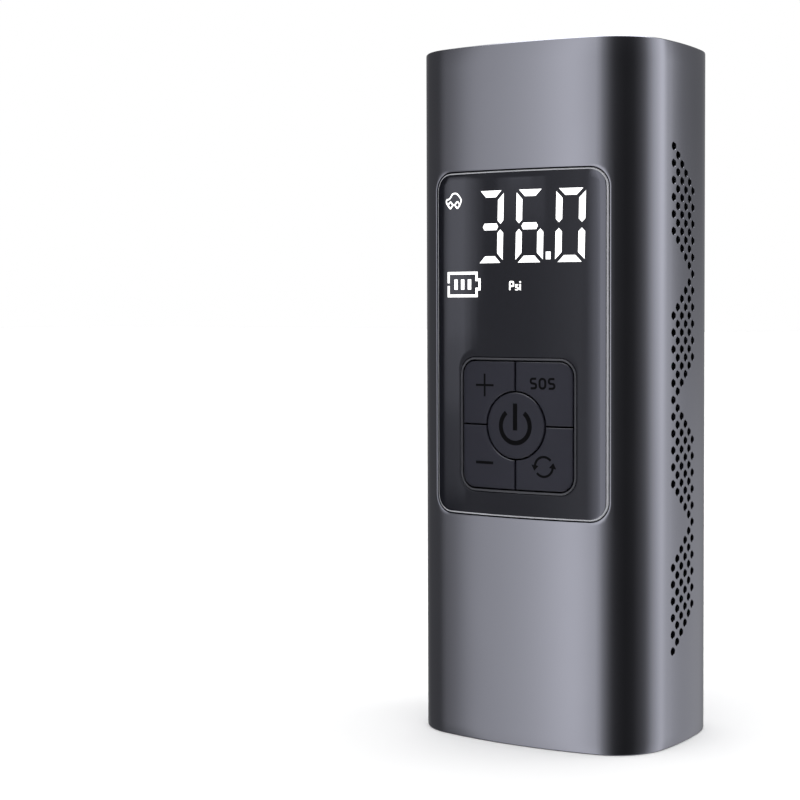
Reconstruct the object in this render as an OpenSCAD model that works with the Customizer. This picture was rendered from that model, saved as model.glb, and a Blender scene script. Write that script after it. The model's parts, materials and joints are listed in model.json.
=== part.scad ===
// Handheld cordless tyre inflator.
// Origin at the middle of the base. +Z is up, the display faces -Y, +X is its right-hand side.

/* [Body] */
// Width of the sleeve, left to right
body_w = 60; // [59:0.5:62]
// Depth of the sleeve at its middle, front to back
body_d = 43; // [42.5:0.5:46]
// Height of the sleeve
body_h = 150; // [148:1:156]
// Radius of the four upright corners
corner_r = 12.4; // [11.5:0.1:13]
// Radius of the slightly crowned front and back
front_r = 104; // [90:1:140]
// Radius of the slightly crowned sides
side_r = 67; // [55:1:90]
// Wall of the sleeve
wall = 1.6; // [1.2:0.1:1.8]

/* [Window] */
// Width of the window in the front
window_w = 43; // [40:0.5:43]
// Height of the window
window_h = 74.3; // [71:0.1:75]
// Radius of the window's corners
window_r = 4.2; // [3:0.1:6]
// Height of the window's lower edge above the base
window_z = 48.9; // [48:0.1:51]
// Gap all round the glass
window_gap = 0.2; // [0.1:0.05:0.4]

/* [Keypad] */
// Width and height of the keypad's rim
keypad_w = 28.9; // [27:0.1:29]
// Radius of the rim's corners
keypad_r = 3.8; // [3:0.1:5]
// Height of the keypad's middle above the base
keypad_z = 68.7; // [68:0.1:71]
// Width of the rim
rim_w = 0.5; // [0.4:0.1:0.8]
// Groove between the keys
key_gap = 0.3; // [0.3:0.05:0.5]
// Radius of the power key
power_r = 7.1; // [6:0.05:7.5]

/* [Vents] */
// Rows of the vent pattern on each side
vent_rows = 61; // [45:4:61]
// Columns of the vent pattern
vent_cols = 6; // [4:1:6]
// Distance between two rows
vent_dz = 1.79; // [1.7:0.005:1.8]
// Distance between two columns
vent_dy = 1.79; // [1.75:0.01:2]
// Radius of a vent hole
vent_r = 0.9; // [0.6:0.01:0.9]

/* [Pump] */
// Module of the reduction gears
gear_module = 0.6; // [0.58:0.01:0.6]
// Teeth of the motor pinion
pinion_teeth = 12; // [12:1:14]
// Teeth of the crank gear
gear_teeth = 42; // [40:1:42]
// Distance from the crank's axis to its pin
throw = 5; // [4:0.25:5]
// Length of the connecting rod, from pin to pin
rod_len = 24; // [23.5:0.5:24]
// Radius of the cylinder's bore
bore_r = 7.5; // [7:0.1:7.5]
// Radius of the motor
motor_r = 12.2; // [11:0.1:12.2]
// Length of the motor's steel can
motor_len = 24; // [20:0.5:24]

/* [Battery] */
// Radius of a battery cell
cell_r = 9.2; // [9:0.05:9.3]
// Height of a battery cell
cell_h = 65; // [60:0.5:65.2]

/* [Air outlet] */
// Radius of the outlet's threaded socket
outlet_r = 4; // [3.5:0.1:4.5]
// Depth of the socket
outlet_len = 7; // [5:0.5:7]

/* [Hidden] */
$fn = 48;

// Colours
metal = "#6f7079";
black = "#1d1d20";
key_grey = "#333438";
steel = "#a9abb0";
board_green = "#1f5136";

// Sleeve section: a corner circle touches the front arc and the side arc from inside
half_w = body_w / 2;
half_d = body_d / 2;
front_c = [0, half_d - front_r];
side_c = [half_w - side_r, 0];
between = side_c - front_c;
gap_c = norm(between);
along_c = ((front_r - corner_r) ^ 2 - (side_r - corner_r) ^ 2 + gap_c ^ 2) / (2 * gap_c);
across_c = sqrt((front_r - corner_r) ^ 2 - along_c ^ 2);
corner_c = front_c + (between * along_c + [between.y, -between.x] * across_c) / gap_c;
front_a = atan2(corner_c.y - front_c.y, corner_c.x - front_c.x);
side_a = atan2(corner_c.y - side_c.y, corner_c.x - side_c.x);

// Caps: plates inside the sleeve's ends, with skirts
cap_gap = 0.05;
cap_in = wall + cap_gap;
skirt_t = 1.4;
base_t = 2.4;
base_skirt = 9;
cap_top = body_h - 0.8;
cap_t = 3;
cap_under = cap_top - cap_t;
top_skirt = 138;
screw_r = 0.9;
screw_head_r = 2.1;
screw_head_t = 1.4;
screw_len = 9;

// Upright posts that take the cap screws
posts = [[21.6, -12.2], [-21.6, -12.2], [20.9, 13.3], [-20.9, 13.3]];
post_r = 2.3;
frame_in = wall + skirt_t + 0.3;
base_plate_t = 1;
shelf_z = 69.8;
shelf_t = 1.6;
top_plate_z = 139.9;

// Window stack, as insets from the sleeve's outer surface
glass_in = 0.05;
glass_back = 1.95;
flange_back = 2.7;
flange_w = 1.5;
window_mid = window_z + window_h / 2;

// Keypad and display, as distances along Y
rim_step = [-17.5, -17.1];
rim_back = -16.1;
lip_y = [-16.8, -16.3];
power_lip_y = [-15.5, -15];
stem_end = -15;
stem_r = 1.2;
lip_w = 0.85;
board_y = [-13.4, -11.8];
switch_top = -14.4;
led_front = -16.7;
segment_t = 0.25;
key_x = 7.3;
key_dz = 8;
housing_w = 41;
housing_h = 70;
housing_t = 1.2;
housing_front = -16.2;
boss_at = [for (x = [-17.5, 17.5]) for (z = [54.1, 119.8]) [x, z]];
led_size = [35.6, 23.7];
led_mid = 106.5;

// Digits of the display
digit_h = 15.4;
digit_w = 6.6;
digit_z = 103.4;
digit_x = [-6.2, 3.65, 13.1];
stroke = 1.5;

// Pump: motor and crank axes lie along X, the cylinder stands along Z
pump_y = 2.5;
motor_x = 3;
motor_z = 83.8;
centre_dist = gear_module * (pinion_teeth + gear_teeth) / 2;
crank_z = motor_z + centre_dist;
pressure_angle = 25;
backlash = 0.2;
bracket_t = 3;
bracket_x = motor_x + bracket_t;
gear_x = [bracket_x + 0.6, bracket_x + 4.6];
rod_x = [gear_x[1] + 0.6, gear_x[1] + 3.8];
pump_x = (rod_x[0] + rod_x[1]) / 2;
pin_z = crank_z - throw;
wrist_z = pin_z + rod_len;
big_end_r = 5.5;
small_end_r = 3;
bearing_r = 3.6;
crank_pin_r = 2;
wrist_r = 1.5;
shaft_r = 1.5;
motor_shaft_r = 1.15;
running = 0.05;
seat_z = crank_z + gear_module * (gear_teeth + 2) / 2 + 0.3;
seat_t = 2;
flange_r = 10.8;
cyl_z = [seat_z + seat_t, seat_z + seat_t + 18];
cyl_wall = 1.2;
gasket_t = 0.5;
head_z = [cyl_z[1] + gasket_t, cyl_z[1] + gasket_t + 5.4];
head_pitch = 9.6;
head_screw_r = 0.85;
piston_z = [wrist_z - 3, wrist_z + 4.4];
ring_z = [wrist_z + 1.6, wrist_z + 2.8];
valve_z = head_z[0] + 1.4;
valve_r = 2.6;
valve_t = 0.8;
stem_z = valve_z + 2.5;
chamber_r = 3.4;
spring_r = 1.8;
spring_wire = 0.22;
spring_turns = 3;
motor_screw_y = 8;

// Top end: air outlet on the right, charging socket in the middle, lamp on the left
top_board_z = [141.5, 142.9];
lamp_x = -pump_x;
lens_r = 6.2;
outlet_body_r = 6;
tube_r = 1.7;
tube_bore = 1.25;
tube_bend = 3;
nipple_z = head_z[0] + 2.8;
tube_x = -5;
sensor_z = 105;

// Battery and main board
cell_x = 9.6;
cell_y = 8;
cell_z = 4.2;
main_y = [-5.2, -3.6];
main_z = [4, 66];

// Vent pattern
vent_y = -5.65;
vent_z = body_h / 2 - 0.75 + (vent_rows - 1) / 2 * vent_dz;

function polar(r, a) = [r * cos(a), r * sin(a)];

// Points along an arc, without its first end
function arc(c, r, a0, a1, n) = [for (k = [1:n]) c + polar(r, a0 + (a1 - a0) * k / n)];

// One quarter of the section, set in from the surface by i, from the right side to the back
function quarter(i) = concat(
    arc(side_c, side_r - i, 0, side_a, 2),
    arc(corner_c, corner_r - i, side_a, front_a, 9),
    arc(front_c, front_r - i, front_a, 90, 5));

function outline(i) = let (q = quarter(i), last = len(q) - 2) concat(
    q,
    [for (k = [last:-1:0]) [-q[k].x, q[k].y]],
    [[i - half_w, 0]],
    [for (p = q) -p],
    [for (k = [last:-1:0]) [q[k].x, -q[k].y]],
    [[half_w - i, 0]]);

module section(i) polygon(outline(i));

module section_ring(i, j) difference() {
    section(i);
    section(j);
}

// Extrusions of a flat shape between two places along one axis
module along_x(x0, x1) translate([x0, 0, 0]) rotate([90, 0, 90]) linear_extrude(x1 - x0) children();
module along_y(y0, y1) translate([0, y1, 0]) rotate([90, 0, 0]) linear_extrude(y1 - y0) children();
module along_z(z0, z1) translate([0, 0, z0]) linear_extrude(z1 - z0) children();

module ring(outer, inner) difference() {
    circle(outer);
    circle(inner);
}

// Rectangle with round corners
module round_rect(w, h, r) polygon([for (q = [0:3])
    for (p = arc([(q == 0 || q == 3 ? 1 : -1) * (w / 2 - r), (q < 2 ? 1 : -1) * (h / 2 - r)],
        r, q * 90 - 11.25, q * 90 + 101.25, 10)) p]);

// Part of the sleeve's front between two insets, at window height
module crown(i, j) intersection() {
    along_z(window_z - 4, window_z + window_h + 4) section_ring(i, j);
    along_y(-body_d, -half_d + 10) square([2 * body_w, 4 * body_h], center = true);
}

module window_shape(grow) translate([0, window_mid])
    round_rect(window_w + 2 * grow, window_h + 2 * grow, window_r + grow);

module keypad_shape(grow) translate([0, keypad_z])
    round_rect(keypad_w + 2 * grow, keypad_w + 2 * grow, keypad_r + grow);

// True where the vent pattern has a hole: a chevron band with a notch at each quarter
function has_vent(row, col) = let (end = vent_rows - 1, mid = end / 2, c = vent_cols - 1)
    (row + col) % 2 == 0 && col <= min(row, end - row)
    && col >= c - abs(row - mid / 2) && col >= c - abs(row - 3 * mid / 2)
    && (abs(row - mid) >= c || col <= abs(row - mid));

module sleeve() color(metal) difference() {
    along_z(0, body_h) section_ring(0, wall);
    along_y(-body_d, 0) window_shape(0);
    for (row = [0:vent_rows - 1]) for (col = [0:vent_cols - 1]) if (has_vent(row, col))
        along_x(-body_w, body_w)
            translate([vent_y + col * vent_dy, vent_z - row * vent_dz]) circle(vent_r, $fn = 16);
}

module post_circles(r) for (p = posts) translate(p) circle(r);

module top_cap() color(black) difference() {
    union() {
        along_z(cap_under, cap_top) section(cap_in);
        along_z(top_skirt, cap_under) section_ring(cap_in, cap_in + skirt_t);
    }
    along_z(cap_under - 1, cap_top + 1) post_circles(screw_r + 0.2);
    along_z(cap_top - screw_head_t - 0.1, cap_top + 1) post_circles(screw_head_r + 0.1);
    along_z(cap_under - 1, cap_top + 1) {
        translate([pump_x, pump_y]) circle(outlet_body_r + 0.1);
        translate([lamp_x, pump_y]) circle(lens_r + 0.1);
        translate([0, pump_y]) round_rect(9.4, 3.7, 1.8);
    }
}

module bottom_cap() color(black) difference() {
    union() {
        along_z(0, base_t) section(cap_in);
        along_z(base_t, base_skirt) section_ring(cap_in, cap_in + skirt_t);
    }
    along_z(-1, base_t + 1) post_circles(screw_r + 0.2);
    along_z(-1, screw_head_t + 0.1) post_circles(screw_head_r + 0.1);
}

// Screw with its head's outer face at z = 0 and its shank pointing down
module cap_screw() difference() {
    union() {
        along_z(-screw_head_t, 0) circle(screw_head_r);
        along_z(-screw_len, -screw_head_t) circle(screw_r - 0.02);
    }
    for (a = [0, 90]) rotate(a) along_z(-0.9, 1) square([2.2, 0.5], center = true);
}

module top_cap_screws() color(steel)
    for (p = posts) translate([p.x, p.y, cap_top - 0.1]) cap_screw();

module bottom_cap_screws() color(steel)
    for (p = posts) translate([p.x, p.y, 0.1]) rotate([180, 0, 0]) cap_screw();

module display_window() color("#0b0b0d") difference() {
    union() {
        intersection() {
            crown(glass_in, glass_back);
            along_y(-body_d, 0) window_shape(-window_gap);
        }
        intersection() {
            crown(glass_back, flange_back);
            along_y(-body_d, 0) window_shape(flange_w);
        }
    }
    along_y(-body_d, 0) keypad_shape(0.1);
}

module window_gasket() color("#111111") intersection() {
    crown(wall, glass_back);
    along_y(-body_d, 0) difference() {
        window_shape(flange_w);
        window_shape(0.1);
    }
}

module display_housing() color(black) difference() {
    along_y(housing_front, board_y[0]) {
        difference() {
            translate([0, window_mid]) round_rect(housing_w, housing_h, 3);
            translate([0, window_mid])
                round_rect(housing_w - 2 * housing_t, housing_h - 2 * housing_t, 2);
        }
        translate([-housing_w / 2 + 0.5, 88]) square([housing_w - 1, housing_t]);
        for (p = boss_at) translate(p) circle(1.4);
    }
    along_y(housing_front - 1, board_y[0] + 1) for (p = boss_at) translate(p) circle(0.78);
}

module display_board() color(board_green) along_y(board_y[0], board_y[1]) difference() {
    translate([-19, 52]) square([38, 69.3]);
    for (p = boss_at) translate(p) circle(0.85);
}

module display_screws() color(steel) for (p = boss_at) {
    along_y(board_y[0] - 2.2, board_y[1]) translate(p) circle(0.75);
    along_y(board_y[1], board_y[1] + 1) translate(p) circle(1.5);
}

module digit_display() color("#151518") along_y(led_front, board_y[0])
    translate([0, led_mid]) square(led_size, center = true);

// One bar of a digit, along X, with pointed ends
module bar(len) polygon([[-len / 2, 0], [(stroke - len) / 2, stroke / 2], [(len - stroke) / 2, stroke / 2],
    [len / 2, 0], [(len - stroke) / 2, -stroke / 2], [(stroke - len) / 2, -stroke / 2]]);

module digit() {
    arm = (digit_h - stroke) / 2;
    side = (digit_w - stroke) / 2;
    for (k = [0:2]) translate([0, stroke / 2 + k * arm]) bar(2 * side - 0.3);
    for (x = [-side, side]) for (k = [0, 1])
        translate([x, stroke / 2 + (k + 0.5) * arm]) rotate(90) bar(arm - 0.3);
}

module display_segments() color("white") along_y(led_front - segment_t, led_front) {
    for (x = digit_x) translate([x, digit_z]) digit();
    for (x = [-0.9, 8.5]) translate([x, digit_z + 0.6]) circle(0.55);
    for (z = [105.3, 109, 112.3, 115.7]) translate([-14.5, z]) round_rect(4.2, 2.4, 0.6);
    translate([-12.2, 99.4]) difference() {
        round_rect(8.2, 5.2, 0.5);
        round_rect(7.1, 4.1, 0.3);
    }
    for (x = [-14.1, -12.1, -10.1]) translate([x, 99.4]) square([1.2, 2.2], center = true);
}

key_places = concat([[0, keypad_z]],
    [for (x = [-key_x, key_x]) for (z = [-key_dz, key_dz]) [x, keypad_z + z]]);

module key_switches() color(steel) for (p = key_places) {
    along_y(switch_top + 0.3, board_y[0]) translate(p) square(3.4, center = true);
    along_y(switch_top, switch_top + 0.3) translate(p) circle(1);
}

module keypad_frame() color("#26262a") {
    intersection() {
        crown(glass_in, 6);
        along_y(-body_d, rim_step[0]) difference() {
            keypad_shape(0);
            keypad_shape(-rim_w);
        }
    }
    along_y(rim_step[0], rim_step[1]) difference() {
        keypad_shape(1.35);
        keypad_shape(-rim_w);
    }
    along_y(rim_step[1], rim_back) difference() {
        keypad_shape(1.35);
        keypad_shape(0.35);
    }
}

// One of the four corner keys, in the quadrant given by the signs sx and sz
module key_shape(sx, sz, grow) difference() {
    intersection() {
        keypad_shape(grow - rim_w - key_gap);
        translate([0, keypad_z] + [sx, sz] * (key_gap + body_w) / 2) square(body_w, center = true);
    }
    translate([0, keypad_z]) circle(power_r + key_gap);
}

module corner_key(sx, sz) color(key_grey) {
    intersection() {
        crown(0.1, 8);
        along_y(-body_d, lip_y[0]) key_shape(sx, sz, 0);
    }
    along_y(lip_y[0], lip_y[1]) key_shape(sx, sz, lip_w);
    along_y(lip_y[1], stem_end) translate([sx * key_x, keypad_z + sz * key_dz]) circle(stem_r);
}

module plus_key() corner_key(-1, 1);
module minus_key() corner_key(-1, -1);
module lamp_key() corner_key(1, 1);
module mode_key() corner_key(1, -1);

module power_key() color(key_grey) {
    intersection() {
        crown(0.1, 9);
        along_y(-body_d, power_lip_y[0]) translate([0, keypad_z]) circle(power_r);
    }
    along_y(power_lip_y[0], power_lip_y[1]) translate([0, keypad_z]) circle(power_r + lip_w);
}

module inner_frame() color("#3a3a3d") difference() {
    union() {
        along_z(base_t, cap_under) post_circles(post_r);
        along_z(base_t, base_t + base_plate_t) section(frame_in);
        along_z(shelf_z, shelf_z + shelf_t) section(wall + 0.4);
        along_z(top_plate_z, top_board_z[0]) section(frame_in);
    }
    along_z(base_t - 1, base_t + screw_len) post_circles(screw_r);
    along_z(cap_under - screw_len, cap_under + 1) post_circles(screw_r);
    // Room for the rear end of the motor beside the left back post
    along_z(shelf_z + shelf_t, motor_z + motor_r + 1) translate([-27, 8]) square([10, 10]);
    // Slot for the display board
    along_z(shelf_z - 1, shelf_z + shelf_t + 1) translate([-19.2, -half_d]) square([38.4, 10.2]);
    // Room behind the display housing and the rim of the window
    along_z(window_z - 3, window_z + window_h + 3) translate([-half_w, -half_d])
        square([body_w, half_d + board_y[0] + 0.1]);
    // Way down for the motor's leads
    along_z(shelf_z - 1, shelf_z + shelf_t + 1) translate([-26.8, -6]) square([7.8, 11]);
    along_z(top_plate_z - 1, top_board_z[0] + 1) {
        translate([pump_x, pump_y]) circle(7.6);
        translate([lamp_x, pump_y]) circle(5);
    }
}

module cells(r) for (x = [-cell_x, cell_x]) translate([x, cell_y]) circle(r);

module battery_cells() color("#2f6fae") for (x = [-cell_x, cell_x]) translate([x, cell_y, cell_z]) {
    difference() {
        cylinder(r = cell_r, h = cell_h - 0.6);
        translate([0, 0, cell_h - 1.6]) rotate_extrude() translate([5.4, 0]) square([2.2, 2]);
    }
    translate([0, 0, cell_h - 0.6]) cylinder(r = 3, h = 0.6);
}

module battery_holder() color(black) {
    along_z(base_t + base_plate_t, cell_z - 0.2) intersection() {
        section(frame_in + 0.1);
        translate([-18.4, -2.5]) square([36.8, 22]);
    }
    along_z(cell_z - 0.2, 58) intersection() {
        section(frame_in + 0.1);
        translate([-15, cell_y + cell_r + 0.1]) square([30, 1]);
    }
    along_z(58, 60) difference() {
        intersection() {
            section(wall + 0.5);
            translate([-half_w, -2.5]) square([body_w, 30]);
        }
        cells(cell_r + 0.1);
        post_circles(post_r + 0.1);
    }
}

module cell_tabs() color("#c9c9c4") {
    along_z(cell_z + cell_h, cell_z + cell_h + 0.2) translate([0, cell_y]) square([24, 5], center = true);
    for (x = [-cell_x, cell_x]) along_z(cell_z - 0.2, cell_z)
        translate([x - 2.5, main_y[1]]) square([5, 14]);
}

module main_board() color(board_green) along_y(main_y[0], main_y[1])
    translate([-24, main_z[0]]) square([48, main_z[1] - main_z[0]]);

// Chips, coil and capacitors on the front of the main board
module board_components() color("#26262a") {
    chips = [[-14, 20, 7, 7, 1.2], [2, 22, 9, 9, 1.4], [15, 18, 6, 5, 1], [15, 27, 6, 5, 1],
        [-14, 54, 8, 8, 4], [14, 56, 12, 5, 5]];
    for (c = chips) along_y(main_y[0] - c[4], main_y[0]) translate([c[0], c[1]])
        square([c[2], c[3]], center = true);
    for (x = [-14, -5, 4]) translate([x, main_y[0] - 3.2, 34]) cylinder(r = 3.2, h = 9);
}

module ribbon_cable() color("#c8c2b4") along_y(board_y[1], main_y[0])
    translate([-6, 58]) square([12, 0.4]);

module motor_can() color(steel) difference() {
    along_x(motor_x - motor_len, motor_x) translate([pump_y, motor_z]) circle(motor_r);
    along_x(motor_x - motor_len - 1, motor_x - 1) translate([pump_y, motor_z]) circle(motor_r - 0.8);
    along_x(motor_x - 2, motor_x + 1) translate([pump_y, motor_z]) circle(motor_shaft_r + running);
    for (s = [-1, 1]) along_x(motor_x - 2, motor_x + 1)
        translate([pump_y + s * motor_screw_y, motor_z]) circle(1.2);
}

module motor_endcap() color(black) {
    along_x(motor_x - motor_len - 2.4, motor_x - motor_len) translate([pump_y, motor_z])
        ring(motor_r - 0.4, motor_shaft_r + running);
    for (s = [-1, 1]) along_x(motor_x - motor_len - 4.6, motor_x - motor_len - 2.4)
        translate([pump_y + 6 * s, motor_z]) square([2.6, 0.5], center = true);
}

module motor_magnets() color("#4a4a4e") along_x(motor_x - motor_len + 3, motor_x - 3)
    translate([pump_y, motor_z]) difference() {
        ring(motor_r - 0.85, motor_r - 2.4);
        square([2.5, 3 * motor_r], center = true);
    }

module motor_rotor() color("#b06a38") along_x(motor_x - motor_len + 4, motor_x - 4)
    translate([pump_y, motor_z]) difference() {
        circle(motor_r - 2.9);
        circle(motor_shaft_r);
        for (a = [0:72:359]) rotate(a) translate([4, -0.5]) square([7, 1]);
    }

module motor_shaft() color(steel) along_x(motor_x - motor_len - 3.4, gear_x[1] + 0.2)
    translate([pump_y, motor_z]) circle(motor_shaft_r);

// Tooth half-angle at radius r of an involute gear with n teeth
function inv(a) = tan(a) * 180 / PI - a;
function half_tooth(n, r) = let (pitch = gear_module * n / 2, base = pitch * cos(pressure_angle))
    90 / n - backlash / (4 * pitch) * 180 / PI + inv(pressure_angle) - inv(acos(min(1, base / r)));

// Outline of an involute gear with n teeth, one tooth centred on angle turn
function gear_points(n, turn) = let (
    pitch = gear_module * n / 2,
    root = pitch - 1.25 * gear_module,
    tip = pitch + gear_module,
    start = max(root, pitch * cos(pressure_angle)),
    radii = [for (k = [0:4]) start + (tip - start) * k / 4])
    [for (t = [0:n - 1]) let (a = turn + t * 360 / n) each concat(
        [polar(root, a - half_tooth(n, start))],
        [for (r = radii) if (r > root) polar(r, a - half_tooth(n, r))],
        [for (k = [4:-1:0]) if (radii[k] > root) polar(radii[k], a + half_tooth(n, radii[k]))],
        [polar(root, a + half_tooth(n, start))])];

module motor_pinion() color("#c9a94f") along_x(gear_x[0] - 0.1, gear_x[1] + 0.1)
    translate([pump_y, motor_z]) difference() {
        polygon(gear_points(pinion_teeth, 90 + 180 / pinion_teeth));
        circle(motor_shaft_r);
    }

// A lead of straight stretches that run a little into each other
module lead(points, r) for (k = [0:len(points) - 2]) {
    d = points[k + 1] - points[k];
    translate(points[k]) rotate([0, acos(d.z / norm(d)), atan2(d.y, d.x)])
        cylinder(r = r, h = norm(d) + (k < len(points) - 2 ? r / 2 : 0));
}

module motor_leads() color("#b02a2a") {
    lead([[-24.9, -3.5, 83.4], [-24.9, -3.5, 73], [-22.6, -4.4, 68], [-22.6, -4.4, 66]], 0.8);
    lead([[-24.9, 8.5, 83], [-24.9, 3, 71.5], [-20.4, -4.4, 68], [-20.4, -4.4, 66]], 0.8);
}

module bracket_foot_places() for (y = [-4, 9]) translate([bracket_x + 5, y]) children();

module pump_bracket() color("#8f9196") difference() {
    union() {
        along_x(motor_x, bracket_x) translate([-8, shelf_z + shelf_t])
            square([21, seat_z - shelf_z - shelf_t + 1]);
        along_z(shelf_z + shelf_t, shelf_z + shelf_t + 2) translate([motor_x, -7]) square([13, 19]);
        along_z(seat_z, seat_z + seat_t) translate([pump_x, pump_y]) circle(flange_r);
    }
    along_z(seat_z - 1, seat_z + seat_t + 1) translate([pump_x, pump_y]) {
        circle(bore_r + 0.3);
        for (a = [45:90:359]) rotate(a) translate([head_pitch, 0]) circle(head_screw_r);
    }
    along_x(motor_x - 1, bracket_x + 1) {
        translate([pump_y, motor_z]) circle(4.6);
        translate([pump_y, crank_z]) circle(4);
        for (s = [-1, 1]) translate([pump_y + s * motor_screw_y, motor_z]) circle(1.3);
    }
    along_z(shelf_z, shelf_z + shelf_t + 3) bracket_foot_places() circle(1.3);
}

// Screws that hold the motor to the bracket and the bracket to the frame
module bracket_screws() color(steel) {
    for (s = [-1, 1]) translate([0, pump_y + s * motor_screw_y, motor_z]) {
        along_x(motor_x - 0.9, bracket_x) circle(1.15);
        along_x(bracket_x, bracket_x + 1.4) circle(2.1);
    }
    bracket_foot_places() {
        along_z(shelf_z + shelf_t + 0.1, shelf_z + shelf_t + 2) circle(1.25);
        along_z(shelf_z + shelf_t + 2, shelf_z + shelf_t + 3.4) circle(2.1);
    }
}

module crank_bearing() color("#d5d6da") along_x(motor_x, bracket_x)
    translate([pump_y, crank_z]) ring(4, shaft_r + running);

module crank_shaft() color(steel) {
    along_x(motor_x - 0.4, gear_x[1] - 0.6) translate([pump_y, crank_z]) circle(shaft_r);
    along_x(motor_x - 1.2, motor_x - 0.4) translate([pump_y, crank_z]) circle(2.5);
}

module crank_gear() color("#e3ddcf") difference() {
    along_x(gear_x[0], gear_x[1]) translate([pump_y, crank_z])
        polygon(gear_points(gear_teeth, -90));
    along_x(gear_x[0] - 1, gear_x[1] - 0.6) translate([pump_y, crank_z]) circle(shaft_r);
    along_x(gear_x[0] - 1, gear_x[1] + 1) translate([pump_y, crank_z])
        for (a = [0:45:180]) rotate(a) translate([8, 0]) circle(2);
    along_x(gear_x[1] - 2, gear_x[1] + 1) translate([pump_y, pin_z]) circle(crank_pin_r);
}

module crank_pin() color(steel) {
    along_x(gear_x[1] + 0.3, rod_x[1] + 0.1) translate([pump_y, pin_z]) circle(crank_pin_r);
    along_x(rod_x[1] + 0.1, rod_x[1] + 1) translate([pump_y, pin_z]) circle(3.2);
}

module rod_bearing() color("#c9a94f") along_x(rod_x[0], rod_x[1])
    translate([pump_y, pin_z]) ring(bearing_r, crank_pin_r);

module connecting_rod() color("#b9bbc0") along_x(rod_x[0], rod_x[1]) difference() {
    union() {
        translate([pump_y, pin_z]) circle(big_end_r);
        translate([pump_y, wrist_z]) circle(small_end_r);
        translate([pump_y - 2.3, pin_z]) square([4.6, rod_len]);
    }
    translate([pump_y, pin_z]) circle(bearing_r);
    translate([pump_y, wrist_z]) circle(wrist_r + running);
}

module wrist_pin() color(steel) along_x(pump_x - 6, pump_x + 6)
    translate([pump_y, wrist_z]) circle(wrist_r);

module piston() color("#9a9ca2") difference() {
    along_z(piston_z[0], piston_z[1]) translate([pump_x, pump_y]) circle(bore_r - running);
    along_z(ring_z[0], ring_z[1]) translate([pump_x, pump_y]) ring(bore_r + 1, bore_r - 1);
    along_z(piston_z[0] - 1, wrist_z + small_end_r + 0.3) translate([rod_x[0] - 0.3, pump_y - 3.4])
        square([rod_x[1] - rod_x[0] + 0.6, 6.8]);
    along_x(pump_x - 6, pump_x + 6) translate([pump_y, wrist_z]) circle(wrist_r);
    along_z(piston_z[0] - 1, piston_z[1] + 1) for (s = [-1, 1])
        translate([pump_x, pump_y + 5.2 * s]) circle(0.9);
}

module piston_ring() color("#2c2c30") along_z(ring_z[0], ring_z[1])
    translate([pump_x, pump_y]) ring(bore_r - 0.02, bore_r - 1);

module intake_reed() color("#b8bac0") translate([pump_x, pump_y, piston_z[1]]) {
    along_z(0, 0.15) round_rect(3.2, 12.8, 1.5);
    along_z(0.15, 0.35) circle(1);
}

module head_screw_places() translate([pump_x, pump_y, 0]) for (a = [45:90:359])
    rotate(a) translate([head_pitch, 0, 0]) children();

module cylinder_block() color("#a7a9ae") difference() {
    union() {
        along_z(cyl_z[0], cyl_z[1]) translate([pump_x, pump_y]) circle(bore_r + cyl_wall);
        for (k = [0:5]) along_z(cyl_z[0] + 3.2 * k, cyl_z[0] + 3.2 * k + (k == 0 || k == 5 ? 2 : 1.2))
            translate([pump_x, pump_y]) circle(flange_r);
    }
    along_z(cyl_z[0] - 1, cyl_z[1] + 1) translate([pump_x, pump_y]) circle(bore_r);
    head_screw_places() along_z(cyl_z[0] - 1, cyl_z[1] + 1) circle(head_screw_r + 0.05);
}

module head_gasket() color("#8a3b2a") along_z(cyl_z[1], head_z[0]) difference() {
    translate([pump_x, pump_y]) ring(flange_r, bore_r);
    for (a = [45:90:359]) translate([pump_x, pump_y] + polar(head_pitch, a)) circle(head_screw_r + 0.05);
}

module cylinder_head() color("#a7a9ae") difference() {
    union() {
        along_z(head_z[0], head_z[1]) translate([pump_x, pump_y]) circle(flange_r);
        along_x(-0.5, pump_x - flange_r + 1) translate([pump_y, nipple_z]) circle(1.2);
    }
    translate([pump_x, pump_y, 0]) {
        along_z(head_z[0] - 1, valve_z) circle(1.2);
        along_z(valve_z, head_z[1] + 1) circle(chamber_r);
    }
    along_x(-1, pump_x - chamber_r + 0.5) translate([pump_y, nipple_z]) circle(0.5);
    head_screw_places() along_z(head_z[0] - 1, head_z[1] + 1) circle(head_screw_r + 0.05);
    head_screw_places() along_z(head_z[1] - 1.7, head_z[1] + 1) circle(1.6);
}

module head_screws() color(steel) head_screw_places() {
    along_z(seat_z + 0.4, head_z[1] - 1.7) circle(head_screw_r);
    along_z(head_z[1] - 1.7, head_z[1] - 0.2) circle(1.5);
}

module outlet_valve() color("#c9a94f") along_z(valve_z, valve_z + valve_t)
    translate([pump_x, pump_y]) circle(valve_r);

// Coil spring: rings of points along a helix, joined into one closed tube
module coil(r, wire, height, turns, steps, sides) {
    rise = height - 2 * wire;
    points = [for (k = [0:steps]) let (a = 360 * turns * k / steps) for (s = [0:sides - 1])
        let (b = 360 * s / sides, d = r + wire * cos(b))
            [d * cos(a), d * sin(a), wire + rise * k / steps + wire * sin(b)]];
    faces = concat(
        [[for (s = [0:sides - 1]) s]],
        [for (k = [0:steps - 1]) for (s = [0:sides - 1]) let (t = (s + 1) % sides)
            [k * sides + s, (k + 1) * sides + s, (k + 1) * sides + t, k * sides + t]],
        [[for (s = [sides - 1:-1:0]) steps * sides + s]]);
    polyhedron(points, faces);
}

module valve_spring() color(steel) translate([pump_x, pump_y, valve_z + valve_t])
    coil(spring_r, spring_wire, stem_z - valve_z - valve_t, spring_turns, 54, 8);

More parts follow.
